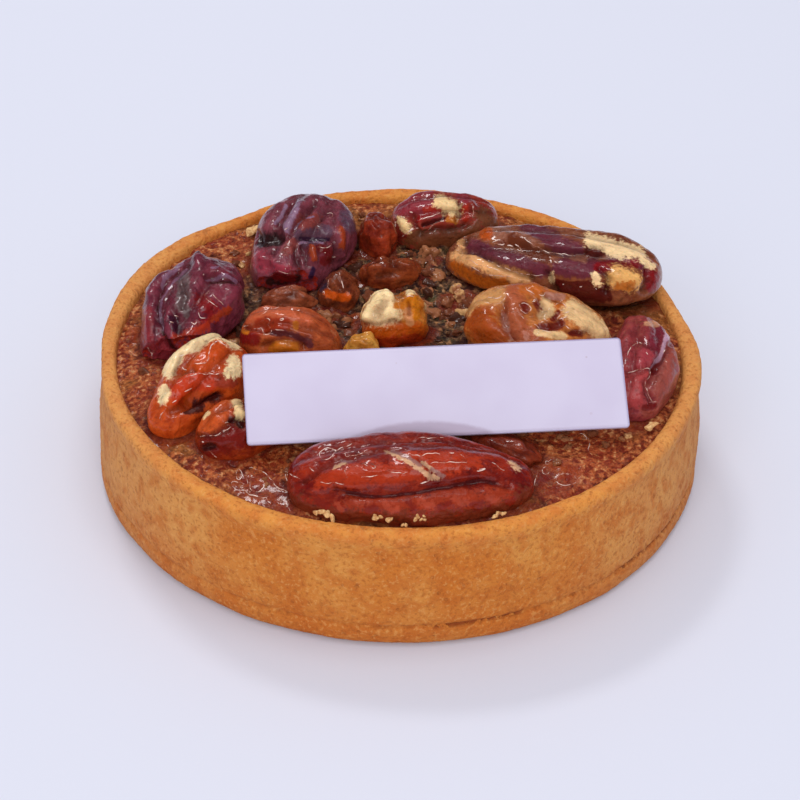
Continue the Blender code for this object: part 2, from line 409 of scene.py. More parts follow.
def makeShell():
    radii, heights = shellProfile()
    turns, rows = shellSizes["turns"], len(radii)
    bpy.ops.mesh.primitive_grid_add(x_subdivisions=turns, y_subdivisions=rows - 1, size=2.0)
    shell = newest("shellCrust")
    flat = spotsOf(shell)
    angle = (flat[:, 0] + 1) * math.pi  # the grid is rolled up: its width goes round, its height follows
    row = (flat[:, 1] + 1) * 0.5 * (rows - 1)  # the outline
    radius = np.interp(row, np.arange(rows), radii)
    height = np.interp(row, np.arange(rows), heights)
    moveSpots(shell, np.c_[radius * np.cos(angle), radius * np.sin(angle), height])
    faceOutwards(shell, merge=0.01 * mm)
    spots, seam, rim = unevenShell(spotsOf(shell))
    moveSpots(shell, spots)
    keepValue(shell, "seam", seam)
    keepValue(shell, "rim", rim)
    finishPiece(shell, shortcrustFinish(), "shell")
    return shell


def unevenShell(spots):  # swells and sandy grain, a seam that is cracked at the front, a trimmed rim
    s = shellSizes
    x, y, z = spots.T
    flat = np.c_[x, y, 0 * z]
    radius = np.hypot(x, y)
    angle = np.degrees(np.arctan2(y, x)) % 360
    inner = s["rimRadius"] - s["wall"]
    rise = z / s["height"]
    swell = np.zeros(len(x))
    for place, size, spread in s["swells"]:
        swell += size * bell(np.abs((angle - place + 180) % 360 - 180), spread)
    swell *= 0.35 + 0.65 * rise
    swell += s["wave"] * lumps(spots, 7 * mm)
    seam = bell(z - s["seamHeight"] - 0.35 * mm * lumps(flat, 6 * mm, 3), 0.32 * mm)
    cracked = ramp(0.05, 0.5, -y / s["baseRadius"]) * (0.25 + 0.75 * ramp(-10 * mm, 8 * mm, x))
    cracked *= ramp(-0.35, 0.2, lumps(spots, 5 * mm, 12))
    broken = ramp(-0.35, 0.3, lumps(spots, 2.2 * mm, 5))
    swell -= s["crackDepth"] * seam * (0.2 + 0.8 * cracked) * broken
    grain = s["grain"] * lumps(spots, 0.9 * mm, 1) + s["fineGrain"] * lumps(spots, 0.45 * mm, 2)
    outwards = np.clip((radius - inner) / (0.6 * s["wall"]), 0, 1) * (z > 0.01 * mm)
    scale = 1 + (swell + grain) * outwards / np.maximum(radius, mm)
    rimTop = ramp(0.93, 0.99, rise) * (radius > inner - 0.4 * mm)
    z = z + rimTop * (s["rimWave"] * lumps(flat, 9 * mm) + grain)
    z = z - s["rimPits"] * rimTop * ramp(0.25, 0.6, lumps(flat, 1.3 * mm, 8))
    spots = np.c_[x * scale, y * scale, z]
    for axis in (0, 1):  # the swells leave it centred
        spots[:, axis] -= 0.5 * (spots[:, axis].min() + spots[:, axis].max())
    seamShown = seam * (0.08 + 0.92 * cracked) * (radius > inner)
    return spots, seamShown, ramp(0.80, 0.96, rise) * (radius > inner - 0.6 * mm)


def shortcrustFinish():
    crust = Paint("shortcrust")
    shade = mixed(crustTones)
    place = crust.objectPlace()
    sand = crust.cloud(place, 0.55 * mm, 3, 0.6)
    coarse = crust.cloud(place, 2.2 * mm, 3, 0.55)
    patch = crust.cloud(place, 9 * mm, 2, 0.5)
    rim, seam = crust.kept("rim"), crust.kept("seam")
    aside, upward = abs(crust.axis(place, "X")), crust.axis(place, "Z")
    wall = crust.blend(crust.step(0.35, 0.68, patch), shade["wall"], shade["wallPale"])
    # painted light: the wall turns paler towards the left and right sides
    wall = crust.blend(crust.step(16 * mm, 38 * mm, aside) * 0.55, wall, shade["wallSide"])
    wall = crust.blend(crust.step(0.46, 0.62, coarse) * 0.60, wall, shade["wallToasted"])
    # painted shade: the wall is darker and oranger towards the foot, near the floor
    wall = crust.blend(crust.step(9 * mm, 0, upward) * 0.45, wall, shade["wallFoot"])
    edge = crust.blend(crust.step(0.35, 0.65, coarse), shade["rim"], shade["rimToasted"])
    # painted light: the rim turns paler towards the left and right sides
    edge = crust.blend(crust.step(20 * mm, 38 * mm, aside) * 0.45, edge, shade["rimSide"])
    colour = crust.blend(rim * 0.85, wall, edge)
    colour = crust.blend(crust.step(0.53, 0.68, sand) * 0.40, colour, shade["paleSand"])
    colour = crust.blend(crust.step(0.48, 0.34, sand) * 0.50, colour, shade["darkSand"])
    freckle = crust.step(0.70, 0.78, crust.cloud(place, 1.1 * mm, 1, 0.4))
    colour = crust.blend(freckle * 0.45, colour, shade["freckle"])
    pit = crust.step(0.20, 0.12, crust.cells(place, 1.5 * mm)) * crust.step(0.48, 0.60, coarse)
    crack = seam * crust.step(0.44, 0.56, crust.cloud(place, 1.0 * mm, 2, 0.6))
    colour = crust.blend(crack.atMost(1.0) * 0.85, colour, shade["crack"])
    colour = crust.blend(pit * 0.25, colour, shade["pit"])
    height = sand * 0.26 + coarse * 0.16 - pit * 0.10 - crack * 0.20
    crust.set(
        BaseColor=colour, Roughness=0.72, SpecularIORLevel=0.15, Normal=crust.relief(height),
        SubsurfaceWeight=0.08, SubsurfaceRadius=(1.0, 0.5, 0.25), SubsurfaceScale=0.8 * mm,
    )
    return crust.material


# the nuts: the same sizes and places as in the solids

grooves = (0.38, -0.38)
nutSurface = {  # heights in mm
    "groove": 0.135,  # as a share of a half's height
    "wrinkle": 0.26,
    "smallWrinkle": 0.12,
    "pieceWrinkle": 0.24,
    "tornGrit": 0.25,
    "grit": 0.045,
    "fineGrit": 0.03,
    "bareGrit": 0.10,  # where the skin is bare
    "fineBareGrit": 0.05,
    "waver": 0.16,  # how far a painted line strays
    "torn": (150, 46, 30),
}
halfNuts = {  # length, width, rise, depth in mm; place in mm; heading, pitch, roll in degrees
    "pecan_front": ((30.5, 13.4, 4.9, 2.8), (1.7, -30.0, 17.5), (2, 0, 10),
                    {"seed": 1, "grooves": (0.56, -0.62), "drift": 0.22}),
    "pecan_left": ((21, 12.6, 4.8, 2.6), (-28.2, 4.6, 18.0), (253, -5, 4),
                   {"seed": 2, "scallop": 0.08, "snap": 0.80, "skew": -0.26}),
    "pecan_back_left": ((21, 13.4, 5.0, 2.6), (-14.1, 21.0, 18.2), (254, -4, 0),
                        {"seed": 3, "snap": 0.84, "skew": -0.2}),
    "pecan_back": ((15.4, 10.2, 4.2, 2.4), (5.9, 29.0, 17.7), (5, 3, 4), {"seed": 4}),
    "pecan_back_right": ((30.2, 14.4, 5.0, 2.4), (20.8, 16.8, 18.6), (166, -3, 2),
                         {"seed": 5, "scallop": 0.06}),
    "pecan_middle": ((13.6, 9.0, 5.5, 2.4), (-14.5, -1.9, 17.8), (-8, 0, 0), {"seed": 6}),
    "pecan_left_front": ((18.0, 10.0, 4.9, 2.4), (-26.1, -12.4, 17.6), (61, 5, 6),
                         {"seed": 7, "scallop": 0.08, "taper": -0.22}),
    "pecan_lobe": ((13.6, 8.4, 3.9, 2.2), (-19.1, -19.9, 17.2), (30, 2, 0), {"seed": 10}),
    "pecan_right": ((20.5, 8.8, 3.9, 2.2), (30.7, -5.0, 17.8), (84, 3, 5), {"seed": 8, "bend": -1.3}),
    "pecan_prop_right": ((21, 9.6, 5.1, 3.4), (8.0, -13.1, 18.4), (8, 0, 0), {"seed": 9}),
    "pecan_prop_left": ((8.2, 8.6, 4.8, 2.4), (-7.7, -16.8, 17.7), (4, 0, 0), {"seed": 19}),
}
brokenNuts = {  # length, width, height in mm; place; heading, pitch, roll
    "nut_pale": ((20, 16.5, 11.8), (18.1, -0.2, 19.1), (-14, -8, 0), {"lump": 0.14, "seed": 11}),
    "walnut_gold": ((9.2, 8.0, 10.6), (-0.8, 3.4, 18.3), (10, 0, 0),
                    {"cleft": 0.26, "lump": 0.14, "seed": 12}),
    "piece_back": ((5.4, 7.2, 7.8), (-3.6, 24.5, 17.9), (10, 0, 0), {"seed": 13}),
    "piece_flat": ((7.4, 3.8, 4.8), (-15.3, 9.0, 17.4), (12, 0, 0), {"seed": 14}),
    "piece_amber": ((6.4, 5.4, 6.2), (-8.6, 11.0, 17.7), (60, 0, 0), {"seed": 15}),
    "piece_brown": ((8.4, 4.6, 6.2), (-1.6, 15.4, 17.9), (14, 0, 0), {"cleft": 0.3, "seed": 16}),
    "piece_gold": ((5.0, 4.6, 5.8), (-5.0, -3.0, 17.7), (0, 0, 0), {"seed": 17}),
    "piece_low": ((10.0, 5.2, 4.6), (13.6, -22.0, 16.8), (-30, 0, 0), {"seed": 20}),
}


def pieceName(node):  # pecan_back_left becomes pecanBackLeft
    first, *rest = node.split("_")
    return first + "".join(word.title() for word in rest)


def placing(place, turns):
    yaw, pitch, roll = (math.radians(turn) for turn in turns)
    turned = Matrix.Rotation(yaw, 4, "Z") @ Matrix.Rotation(-pitch, 4, "Y") @ Matrix.Rotation(roll, 4, "X")
    return Matrix.Translation(Vector(place) * mm) @ turned


def placed(spots, where):
    return spots @ np.array(where.to_3x3()).T + np.array(where.translation)


def paintedValue(spots, dabs):  # soft dabs: along, across, half length, half width in mm, turn in degrees
    value = np.zeros(len(spots))
    for along, across, long, wide, turn in dabs:
        angle = math.radians(turn)
        dx, dy = spots[:, 0] - along, spots[:, 1] - across
        u = dx * math.cos(angle) + dy * math.sin(angle)
        v = dy * math.cos(angle) - dx * math.sin(angle)
        value = np.maximum(value, np.exp(-0.7 * ((u / long) ** 2 + (v / wide) ** 2)))
    return value


roundMasters = {}


def roundCopy(fine):  # one sphere for each fineness, its poles at the nut's ends, is made and then copied
    if fine not in roundMasters:
        bpy.ops.mesh.primitive_uv_sphere_add(
            segments=int(220 * fine), ring_count=int(190 * fine), radius=1.0,
            rotation=(0, math.radians(90), 0),
        )
        bpy.ops.object.transform_apply(rotation=True)
        roundMasters[fine] = newest("roundMaster")
    return copyOf(roundMasters[fine])


def shapeHalf(name, fine):
    size, place, turns, more = halfNuts[name]
    length, width, rise, depth = size
    seed = more["seed"]
    snap, skew = more.get("snap", 1.0), more.get("skew", 0.0)
    nut = roundCopy(fine)
    unit = spotsOf(nut)
    along = unit[:, 0]
    girth = np.hypot(unit[:, 1], unit[:, 2])
    safe = np.maximum(girth, 1e-5)
    across, up = unit[:, 1] / safe, unit[:, 2] / safe
    top = up > 0
    full = girth**0.78 * (1 - more.get("taper", 0.10) * along)
    squareness = 2.6
    squared = (np.abs(across) ** squareness + np.abs(up) ** squareness) ** (-1 / squareness)
    full *= np.where(top, squared, 1.0)
    trench = np.zeros(len(along))
    for spot in more.get("grooves", grooves):
        trench = np.maximum(trench, bell(across - spot - more.get("drift", 0.0) * along, 0.15))
    trench = np.where(top, trench, 0.6 * bell(across, 0.2))
    full *= 1 - nutSurface["groove"] * trench * (1 - along**4)
    full *= 1 + more.get("scallop", 0.05) * np.sin(5.2 * along + seed) * across**2
    full *= 1 + 0.03 * lumps(unit * 2.3 + np.array([seed, 0, 0]), 1.0)
    limit = np.full(len(along), snap)
    if snap < 1:
        jag = np.c_[np.full(len(along), seed), unit[:, 1] * 4, unit[:, 2] * 4]
        limit = snap + skew * across * girth + 0.05 * lumps(jag, 1.0)
    spots = np.c_[
        0.5 * length * np.minimum(along, limit),
        0.5 * width * full * across + more.get("bend", 0.0) * (1 - along**2),
        np.where(top, rise, depth) * full * up,
    ]
    torn = ((along > limit) & (snap < 1)).astype(float)
    wrinkle = nutSurface["wrinkle"] * lumps(spots, 3.4, seed + 4)
    wrinkle += nutSurface["smallWrinkle"] * lumps(spots, 1.5, seed + 9)
    wrinkle += torn * nutSurface["tornGrit"] * lumps(spots, 0.9, seed + 2)
    wrinkle *= np.clip(girth * 2, 0, 1)
    spots[:, 1] += wrinkle * across * 0.8
    spots[:, 2] += wrinkle * up
    return nut, spots, 0.55 * trench * (1 - along**4) * top, torn


def shapePiece(name):
    size, place, turns, more = brokenNuts[name]
    seed, cleft = more["seed"], more.get("cleft", 0.0)
    bpy.ops.mesh.primitive_ico_sphere_add(subdivisions=7 if max(size) > 10 else 6, radius=1.0)
    nut = bpy.context.object
    unit = spotsOf(nut)
    shift = np.array([seed * 3.1, seed * 1.7, 0])
    knob = lumps(unit * 1.25 + shift, 1.0) + 0.45 * lumps(unit * 2.8 + shift, 1.0)
    notch = bell(unit[:, 0] - 0.1, 0.22) * np.clip(unit[:, 2], 0, None)
    grow = 1 + more.get("lump", 0.22) * knob - cleft * notch
    spots = unit * grow[:, None] * np.array(size) * 0.5
    wrinkle = nutSurface["pieceWrinkle"] * lumps(spots, 2.6, seed + 4)
    wrinkle += nutSurface["smallWrinkle"] * lumps(spots, 1.2, seed + 9)
    spots += unit * wrinkle[:, None]
    crease = np.clip(cleft * 2 * notch + 0.6 * ramp(0.1, 0.6, -knob), 0, 1)
    return nut, spots, crease, np.zeros(len(spots))


def makeNut(name):
    looks = nutLooks[name]
    if name in halfNuts:
        size, place, turns, more = halfNuts[name]
        nut, local, crease, torn = shapeHalf(name, looks["fine"])
    else:
        size, place, turns, more = brokenNuts[name]
        nut, local, crease, torn = shapePiece(name)
    nut.name = nut.data.name = pieceName(name)
    keepPlace(nut, "nutSpace", local)
    where = placing(place, turns)
    spots = placed(local * mm, where)
    moveSpots(nut, spots)
    outward, facing = facingCamera(nut, spots)
    seen = asSeen(spots, where.translation)
    seen = seen + nutSurface["waver"] * np.c_[lumps(local, 1.3, 31), lumps(local, 1.3, 47)]
    lift = nutSurface["grit"] * lumps(local, 0.75, more["seed"] + 13)
    lift += nutSurface["fineGrit"] * lumps(local, 0.4, more["seed"] + 17)
    for height, width, *line in looks.get("ridges", ()):
        lift += height * alongStroke(seen, width, line) * facing
    for depth, width, *line in looks.get("creases", ()):
        stroke = alongStroke(seen, width, line) * facing
        lift -= depth * stroke
        crease = np.maximum(crease, 0.75 * stroke)
    keepValue(nut, "crease", crease)
    keepValue(nut, "torn", torn)
    for number, (shade, gloss, ragged, *strokes) in enumerate(looks.get("layers", ())):
        painted = strokeValue(seen, strokes) * facing
        keepValue(nut, f"layer{number}", painted)
        if gloss < 0.45:  # bare skin is gritty
            grit = nutSurface["bareGrit"] * lumps(local, 0.8, 51)
            lift += painted * (grit + nutSurface["fineBareGrit"] * lumps(local, 0.42, 57))
    moveSpots(nut, spots + outward * (lift * mm)[:, None])
    finishPiece(nut, nutFinish(pieceName(name) + "Skin", looks), name)
    return nut


def nutFinish(title, looks):
    skin = Paint(title)
    place = skin.keptPlace("nutSpace")  # millimetres along, across and up the nut
    streak = skin.cloud(skin.stretched(place, 0.35, 1.0, 1.0), 0.9, 4, 0.62)
    mottle = skin.cloud(place, 2.4, 4, 0.6)
    fine = skin.cloud(place, 0.45, 3, 0.65)
    wrinkle = skin.cloud(skin.stretched(place, 0.6, 1.0, 1.0), 0.7, 3, 0.6)
    frayed = skin.cloud(place, 1.5, 5, 0.68) - 0.5 + (fine - 0.5) * 1.6
    crease, torn = skin.kept("crease"), skin.kept("torn")
    colour = skin.blend(
        skin.step(0.32, 0.68, streak * 0.5 + mottle * 0.5), wetTone(*looks["dark"]), wetTone(*looks["light"])
    )
    colour = skin.blend(torn * skin.step(0.35, 0.6, fine), colour, wetTone(*nutSurface["torn"]))
    coat = 1 + mottle * 0
    for number, (shade, gloss, ragged, *strokes) in enumerate(looks.get("layers", ())):
        mask = skin.kept(f"layer{number}")
        mask = skin.step(0.24, 0.70, mask + frayed * ragged * 1.2) * skin.step(0.02, 0.2, mask)
        colour = skin.blend(mask * (0.70 + streak * 0.45), colour, wetTone(*shade))
        coat = coat + mask * (gloss - coat)
    # painted shade: the creases and grooves are darkened
    colour = skin.blend(crease * 0.72, colour, wetTone(*looks["deep"]))
    speck = skin.step(0.54, 0.66, skin.cloud(skin.stretched(place, 0.7, 1.0, 1.0), 0.8, 4, 0.7))
    colour = skin.scaled(colour, (0.40 + mottle * 0.44 + streak * 0.48 + fine * 0.40) * (1 - speck * 0.30))
    film = skin.cloud(skin.stretched(place, 0.8, 1.0, 1.0), 3.2, 1, 0.4, 0.9)
    pool = skin.step(0.47, 0.53, film)
    height = mottle * 0.14 + fine * 0.07 + streak * 0.12 + wrinkle * 0.16 + pool * 0.06
    height = height + torn * fine * 0.3
    skin.set(
        BaseColor=colour,
        Roughness=0.52 - coat * 0.20,
        SpecularIORLevel=0.22,
        CoatWeight=coat * 0.6,
        CoatRoughness=0.07,
        CoatIOR=1.4,
        Normal=skin.relief(height),
        SubsurfaceWeight=0.14,
        SubsurfaceRadius=(1.0, 0.35, 0.2),
        SubsurfaceScale=0.9 * mm,
    )
    return skin.material


# Strokes are measured in millimetres right of and above a nut's place, as the camera shows them.
# Creases and ridges: depth or height, half width, points. Layers: tone, coat, raggedness, strokes.
# deep is painted shade for the creases and grooves.
nutLooks = {
    "pecan_front": {
        "light": (150, 52, 24), "dark": (110, 34, 16), "deep": (84, 26, 22), "fine": 1.2,
        "creases": (
            (0.35, 0.45, -13.3, 0.2, -11.1, 1.8, -8.8, 3, -6.6, 3.6, -0.1, 4.8, 3.1, 4.9, 9.4, 4.4, 11.7,
             3.8, 13.8, 2.6),
            (0.4, 0.4, -9.5, -0.7, -6.9, -1.3, -4.5, -1.5, -0.1, -1.1, 8.3, 0.4, 10.4, 0.2, 12, -0.4),
            (0.25, 0.2, 1, 3, 2.3, 1.5, 2.6, 0.8),
        ),
        "ridges": (
            (0.35, 1.1, -9.2, 0.9, -4.8, 1, 9.4, 2.2), (0.3, 0.9, -7.9, -2.9, -1.1, -2.8),
            (0.3, 0.9, 2, -2.1, 6.5, -1.6, 10.4, -1.5), (0.12, 0.2, -5.3, 1.3, -2.7, 1.5, -0.3, 1.4),
        ),
        "layers": (
            ((168, 58, 0), 0.8, 0.9,
             (1.25, -10.8, 0.5, -4.8, 1, 0.5, 1.1), (0.9, 1, 2.2, 4.7, 2.1, 7.8, 2.5),
             (0.8, -1.1, 3.2, 2.6, 3.2, 6.5, 3.5)),
            ((154, 58, 38), 0.3, 1.5, (1.3, -7.1, -2.5, -2.7, -2.8, 6.5, -1.9, 11.5, -1.6)),
            ((116, 54, 40), 0.2, 1.6,
             (1.1, -14.2, -2.3, -12.6, -3.6, -7.9, -4.2, -0.1, -4.6, 7.8, -4.2, 11.7, -3.4, 14.1, -1.7)),
            ((166, 70, 50), 0.5, 1.2,
             (0.45, -6.6, -2.1, -5.4, -2.4), (0.4, -3.1, -2.6, -1.9, -3.2), (0.5, 1.4, -2.2, 2.6, -2.6),
             (0.4, 5.2, -1.9, 6.9, -2.3), (0.4, 9.6, -1.6, 10.6, -2.1), (0.4, -9.1, -2.6, -8.4, -3.1)),
            ((128, 44, 34), 0.5, 1.2,
             (0.4, -5.4, -3.2, -4.4, -3), (0.35, -0.4, -2.2, 0.4, -3), (0.4, 3.6, -2.9, 4.7, -2.5),
             (0.35, 7.7, -2.6, 8.6, -2.3), (0.4, -11.4, -2.2, -10.4, -2.7), (0.35, 12.1, -2.3, 12.7, -1.9)),
            ((136, 48, 34), 1, 0.8,
             (0.28, -13.3, 0.2, -11.1, 1.8, -8.8, 3, -6.6, 3.6, -0.1, 4.8, 3.1, 4.9, 9.4, 4.4, 11.7, 3.8)),
            # painted shade in the lower crease
            ((78, 22, 20), 0.6, 0.5, (0.2, -7.9, -1.1, -4.5, -1.5, -2.2, -1.4, 8.3, 0.4, 10.4, 0.2)),
            ((208, 162, 124), 0.7, 1.1,
             (0.3, -2.9, 4.1, -1.1, 3.2, 2.3, 0.8, 3.3, 0.6), (0.2, 1.3, 2.6, 3, 1.3),
             (0.28, -9.4, 2.1, -8.2, 2.5), (0.42, 12.5, 2.7, 13.3, 2.1)),
            ((150, 104, 96), 0.9, 0.9,
             (0.24, -2.3, 4.2, -0.6, 3.4, 1.2, 2.2), (0.22, 2.6, 1.6, 3.9, 0.9), (0.2, -8.6, 2.9, -7.4, 3)),
        ),
        "lines": (
            (0.15, -11.2, 3, -10.5, 3, -9.8, 3.3, -9.2, 4.2, -10.2, 4.4, -11.1, 4.1, -11.4, 3.5, -11.2, 3),
            (0.13, -9.2, 4.2, -7.7, 4.7, -7.3, 5.1), (0.13, -8.2, 4.1, -8, 3.2, -6.9, 3.6, -5.3, 3.9),
            (0.14, -4.9, 2.5, -4.3, 2.1, -4.6, 1.7, -5, 2.1), (0.13, -6, 2.5, -5.4, 2.1),
            (0.12, -6.1, 0.8, -4, 1.1), (0.12, -2.9, 1.5, -0.3, 1.4),
            (0.13, -0.7, 4.3, -0.2, 3.6, 1.3, 3.5, 2, 3.8, 3.7, 3.7), (0.2, 4.7, 3.9, 5.5, 3.9),
            (0.13, 6, 3.8, 6.5, 3.3), (0.11, 2.3, 2.6, 7, 2.7), (0.12, -11.1, 0.2, -8.2, 0),
            (0.12, -8.2, 1.7, -7.8, 0.8), (0.2, 1.1, 0.1, 2.3, 0.4), (0.2, 8.5, 1.9, 9.4, 1.9, 8.2, 1.5),
            (0.14, 10, 2.6, 11.6, 1.7), (0.12, -3.2, 4.8, -2.5, 5.3), (0.12, 1, 5.7, 4.1, 5.7),
            (0.13, 6.8, 5.9, 9.4, 5.3), (0.12, -11.9, 1.5, -12.6, 2.1), (0.14, -15.3, 1.4, -13.7, 0.6),
        ),
    },
    "pecan_left": {
        "light": (128, 62, 74), "dark": (94, 44, 55), "deep": (60, 24, 32), "fine": 1.2,
        "creases": (
            (0.6, 0.35, -4, 3.5, -4.3, 1.6, -4.2, -0.4, -3.9, -2.1, -3.1, -3.5, -2.1, -4.7),
            (0.5, 0.35, 2.2, 5.2, 4.2, 4.9, 6.2, 4.2), (0.4, 0.35, -1.7, 6, -3.1, 5, -3.9, 3.8),
            (0.45, 0.5, -2.1, 0.3, -1.6, -1.1, -1.7, -2.1), (0.35, 0.4, -1.2, 4.2, -0.7, 2.6, -1.1, 1.3),
        ),
        "ridges": (
            (1, 0.7, 1, 7.9, 1, 7.2), (0.5, 0.5, -3.3, 5.9, -4.8, 4.3, -5.5, 3),
            (0.6, 0.8, 3.5, 5.9, 5.9, 4, 5.7, 2.5), (0.5, 0.6, -5.5, 0.3, -5.5, -2.5, -4.6, -4.8),
            (0.35, 0.6, 0.3, 0.3, 1.8, 0.8),
        ),
        "layers": (
            ((124, 56, 68), 1, 0.6, (1, 2.2, 3.3, 4.5, 2.8, 5.6, 3), (0.7, 2.8, 5.9, 4.5, 5.9)),
            ((134, 52, 58), 0.8, 0.6,
             (0.65, -5.7, 0.4, -5.7, -1.8, -5.2, -4, -4.5, -5.5), (0.7, -3.7, -3.3, -3.3, -5.2)),
            # partly the glaze's own grey, partly painted sheen
            ((104, 84, 84), 1, 0.5, (0.9, -1.1, 5, -1, 3.3, -1.2, 1.6), (0.5, -0.6, 0.9, -0.6, 0.1)),
            ((130, 34, 38), 1, 0.8, (1, 1.3, 2, 2.8, 1.1, 2.8, 0.1), (0.6, 1, -1.1, 2.2, -0.8)),
            ((160, 54, 38), 0.9, 1, (0.55, -2.1, -2.8, 0.8, -2, 2.2, -1.4)),
            ((150, 56, 34), 0.9, 1, (0.42, 2.8, -0.6, 5, 0.8)),
            # painted shade along the creases
            ((70, 14, 22), 1, 0.25,
             (0.2, -4.3, 1.6, -4.2, -0.4, -3.9, -2.1, -3.1, -3.5, -2.1, -4.7), (0.22, 2.8, 4.5, 5.6, 4.2)),
            ((66, 36, 50), 1, 1, (0.55, -2.4, -0.3, -1.7, -1.6)),
            # painted highlight along the edges of the creases and ridges
            ((140, 100, 122), 1, 0.5,
             (0.16, -0.6, 6.2, -2.4, 4.5, -3.6, 2.8, -4.1, 1.6, -4.2, -0.1, -4, -1.6),
             (0.18, -1.2, 7, -3.5, 5, -3.9, 4), (0.15, 2.3, 4.9, 4.5, 5.2, 6.1, 4.4),
             (0.18, 2.7, 6.3, 3.5, 6.2)),
        ),
        "lines": (
            (0.2, 1.7, 2.7, 2.4, 3.4), (0.11, 1.9, 2.4, 3.5, 1.2), (0.17, 3, 2.8, 4.4, 1.5),
            (0.17, 0, -0.8, 0.5, -1.4, 0.8, -0.8), (0.12, 1, 0.6, 1.2, -0.3, 2.2, -0.4),
            (0.2, -2.8, -0.8, -2.3, -0.9), (0.16, -2.3, 0.1, -1.7, -0.1),
            (0.14, -5.7, -4.3, -5.2, -5.2, -4.8, -4.3), (0.14, -5.2, -5, -5.2, -5.8),
            (0.12, -5.4, 0.4, -5.3, 0.1), (0.12, 1.7, 5.6, 1.7, 5.4), (0.12, -0.6, -2.5, 0.1, -1.8),
            (0.12, -1.9, -2.5, -1.6, -2.8),
        ),
    },
    "pecan_back_left": {
        "light": (134, 70, 80), "dark": (102, 52, 60), "deep": (58, 26, 34), "fine": 1.2,
        "creases": (
            (0.8, 0.4, 1.7, 6.5, -1.8, 2.3), (0.4, 0.3, -1.2, 6.2, -2.2, 4.7, -3.2, 3.7),
            (1, 0.8, -6.7, 1.7, -4.9, 1.7, -3.2, 2), (0.5, 0.5, -0.5, 1.7, 4, 1.7),
            (0.6, 0.4, -0.7, 0.5, -0.3, -3.7), (0.5, 0.4, 4.7, 1.3, 5, -0.3, 4.7, -1.7),
            (0.6, 0.35, 0.3, 0.5, 0.8, -2),
        ),
        "ridges": (
            (0.5, 0.6, -0.2, 6.5, -2.4, 2.8), (0.5, 0.7, -5.7, -1.3, -4, -1.7, -2.2, -2.5),
            (0.6, 0.45, 1.5, 0.3, 1.7, -1.3), (0.5, 0.9, 0.3, 3.5, 2.3, 3.3),
            (0.4, 0.4, 5.5, 2.8, 5.7, -0.7), (0.4, 0.5, 3, -0.2, 3.8, -1),
        ),
        "layers": (
            ((98, 70, 84), 1, 0.6,
             (0.9, 6.2, 4.7, 6.9, 3.3), (0.7, -0.5, 2.3, 3.7, 2.7), (0.6, 0.7, 1, 2.7, 1.2)),
            ((132, 64, 60), 1, 0.6, (1.1, 0.3, 3.8, 1.7, 4), (0.8, -1.3, 1, -2, 0)),
            ((150, 60, 72), 0.9, 0.7, (1.2, -5.7, -1.5, -4.7, -2), (0.7, -3, -2.7, -2, -3)),
            # painted shade along the deep crease and under the nut's lower edge
            ((42, 24, 26), 0.6, 0.5, (0.95, -6.4, 1.7, -5.2, 1.6, -3.7, 1.8), (0.6, -4.4, -4.4, -0.7, -4)),
            ((102, 22, 28), 1, 0.7, (0.75, 2.7, 0.3, 4, -0.7, 3.3, -1.5), (0.6, -1.3, -4, -3.5, -3.7)),
            ((152, 64, 40), 1, 0.9, (0.36, 1.4, 0.2, 1.7, -1.4), (0.32, 5.4, 3, 5.7, 1.7, 5.6, 0.5)),
            # painted shade along the creases
            ((54, 40, 62), 1, 0.3, (0.3, 0, 1.7, 3.8, 1.7), (0.35, 1.7, -2.7, 1.3, -3.7)),
            # painted highlight along the ridge tops
            ((144, 112, 134), 1, 0.5,
             (0.3, -0.2, 6.5, -0.8, 5, -2.1, 2.8), (0.22, -2.1, 6.2, -2.7, 4.9, -3.7, 3.8),
             (0.22, 0, 1.1, 1.7, 1.3, 3, 1.1), (0.14, 1.7, 4.6, 0, 4.3, -1, 3.3)),
        ),
        "lines": (
            (0.22, -2.4, 2.7, -1.9, 3), (0.13, 3.5, 5, 4, 5.3, 4.6, 4.9, 4.3, 4.5, 3.8, 4.6),
            (0.13, -3.3, -2.8, -2.4, -3.3, -1.3, -3.2, -1.4, -2.3, -1.9, -1.5),
            (0.17, -2.4, -2.6, -2.3, -2.6), (0.15, 3.3, -0.3, 3.5, -0.4), (0.15, 3.6, -1, 3.8, -1),
            (0.17, 4.4, -1, 4.7, -1), (0.12, 2, 0.4, 4, 0.3, 4.4, 0.8), (0.15, 4.6, 3.3, 4.8, 3.2),
            (0.13, 1.3, 0.3, 1.5, 0),
        ),
    },
    "pecan_back": {
        "light": (158, 66, 54), "dark": (124, 46, 42), "deep": (50, 16, 16), "fine": 0.9,
        "creases": (
            (0.7, 0.35, -3.1, 0.2, -0.1, 1.3), (0.5, 0.35, 2.1, 3.1, 2.3, 1.9, 1.8, 0.9),
            (0.6, 0.4, -4.5, 1.3, -4.3, 0, -3.8, -0.5),
            (0.9, 0.6, -3.5, -1.1, -1.5, -0.3, 1.3, -0.6, 3.3, 0.5),
        ),
        "ridges": (
            (0.5, 0.8, -0.6, 3, 1, 2.4), (0.5, 0.5, 3.8, 2.8, 4.3, 1.9), (0.4, 0.5, -6.3, 0.8, -5.6, 0),
        ),
        "layers": (
            ((140, 54, 62), 1, 0.6,
             (1.4, -6.1, 2.7, -3.9, 3, -1.7, 2.7), (0.5, -4.2, 4.6, -2.1, 4.8), (0.6, 2.1, 4.2, 3.2, 3.7)),
            ((110, 66, 46), 0.5, 0.9,
             (1.7, -2.6, -2.2, 1.3, -2.2, 4.7, -1.1), (1.2, 5.4, 1.3, 6.5, 0),
             (0.9, -3.5, -1.4, -4.9, -2.2)),
            ((170, 50, 24), 1, 0.4, (0.5, 2.9, 2.4, 3, 1.3), (0.5, -2.6, 2.1, -1.5, 2.1)),
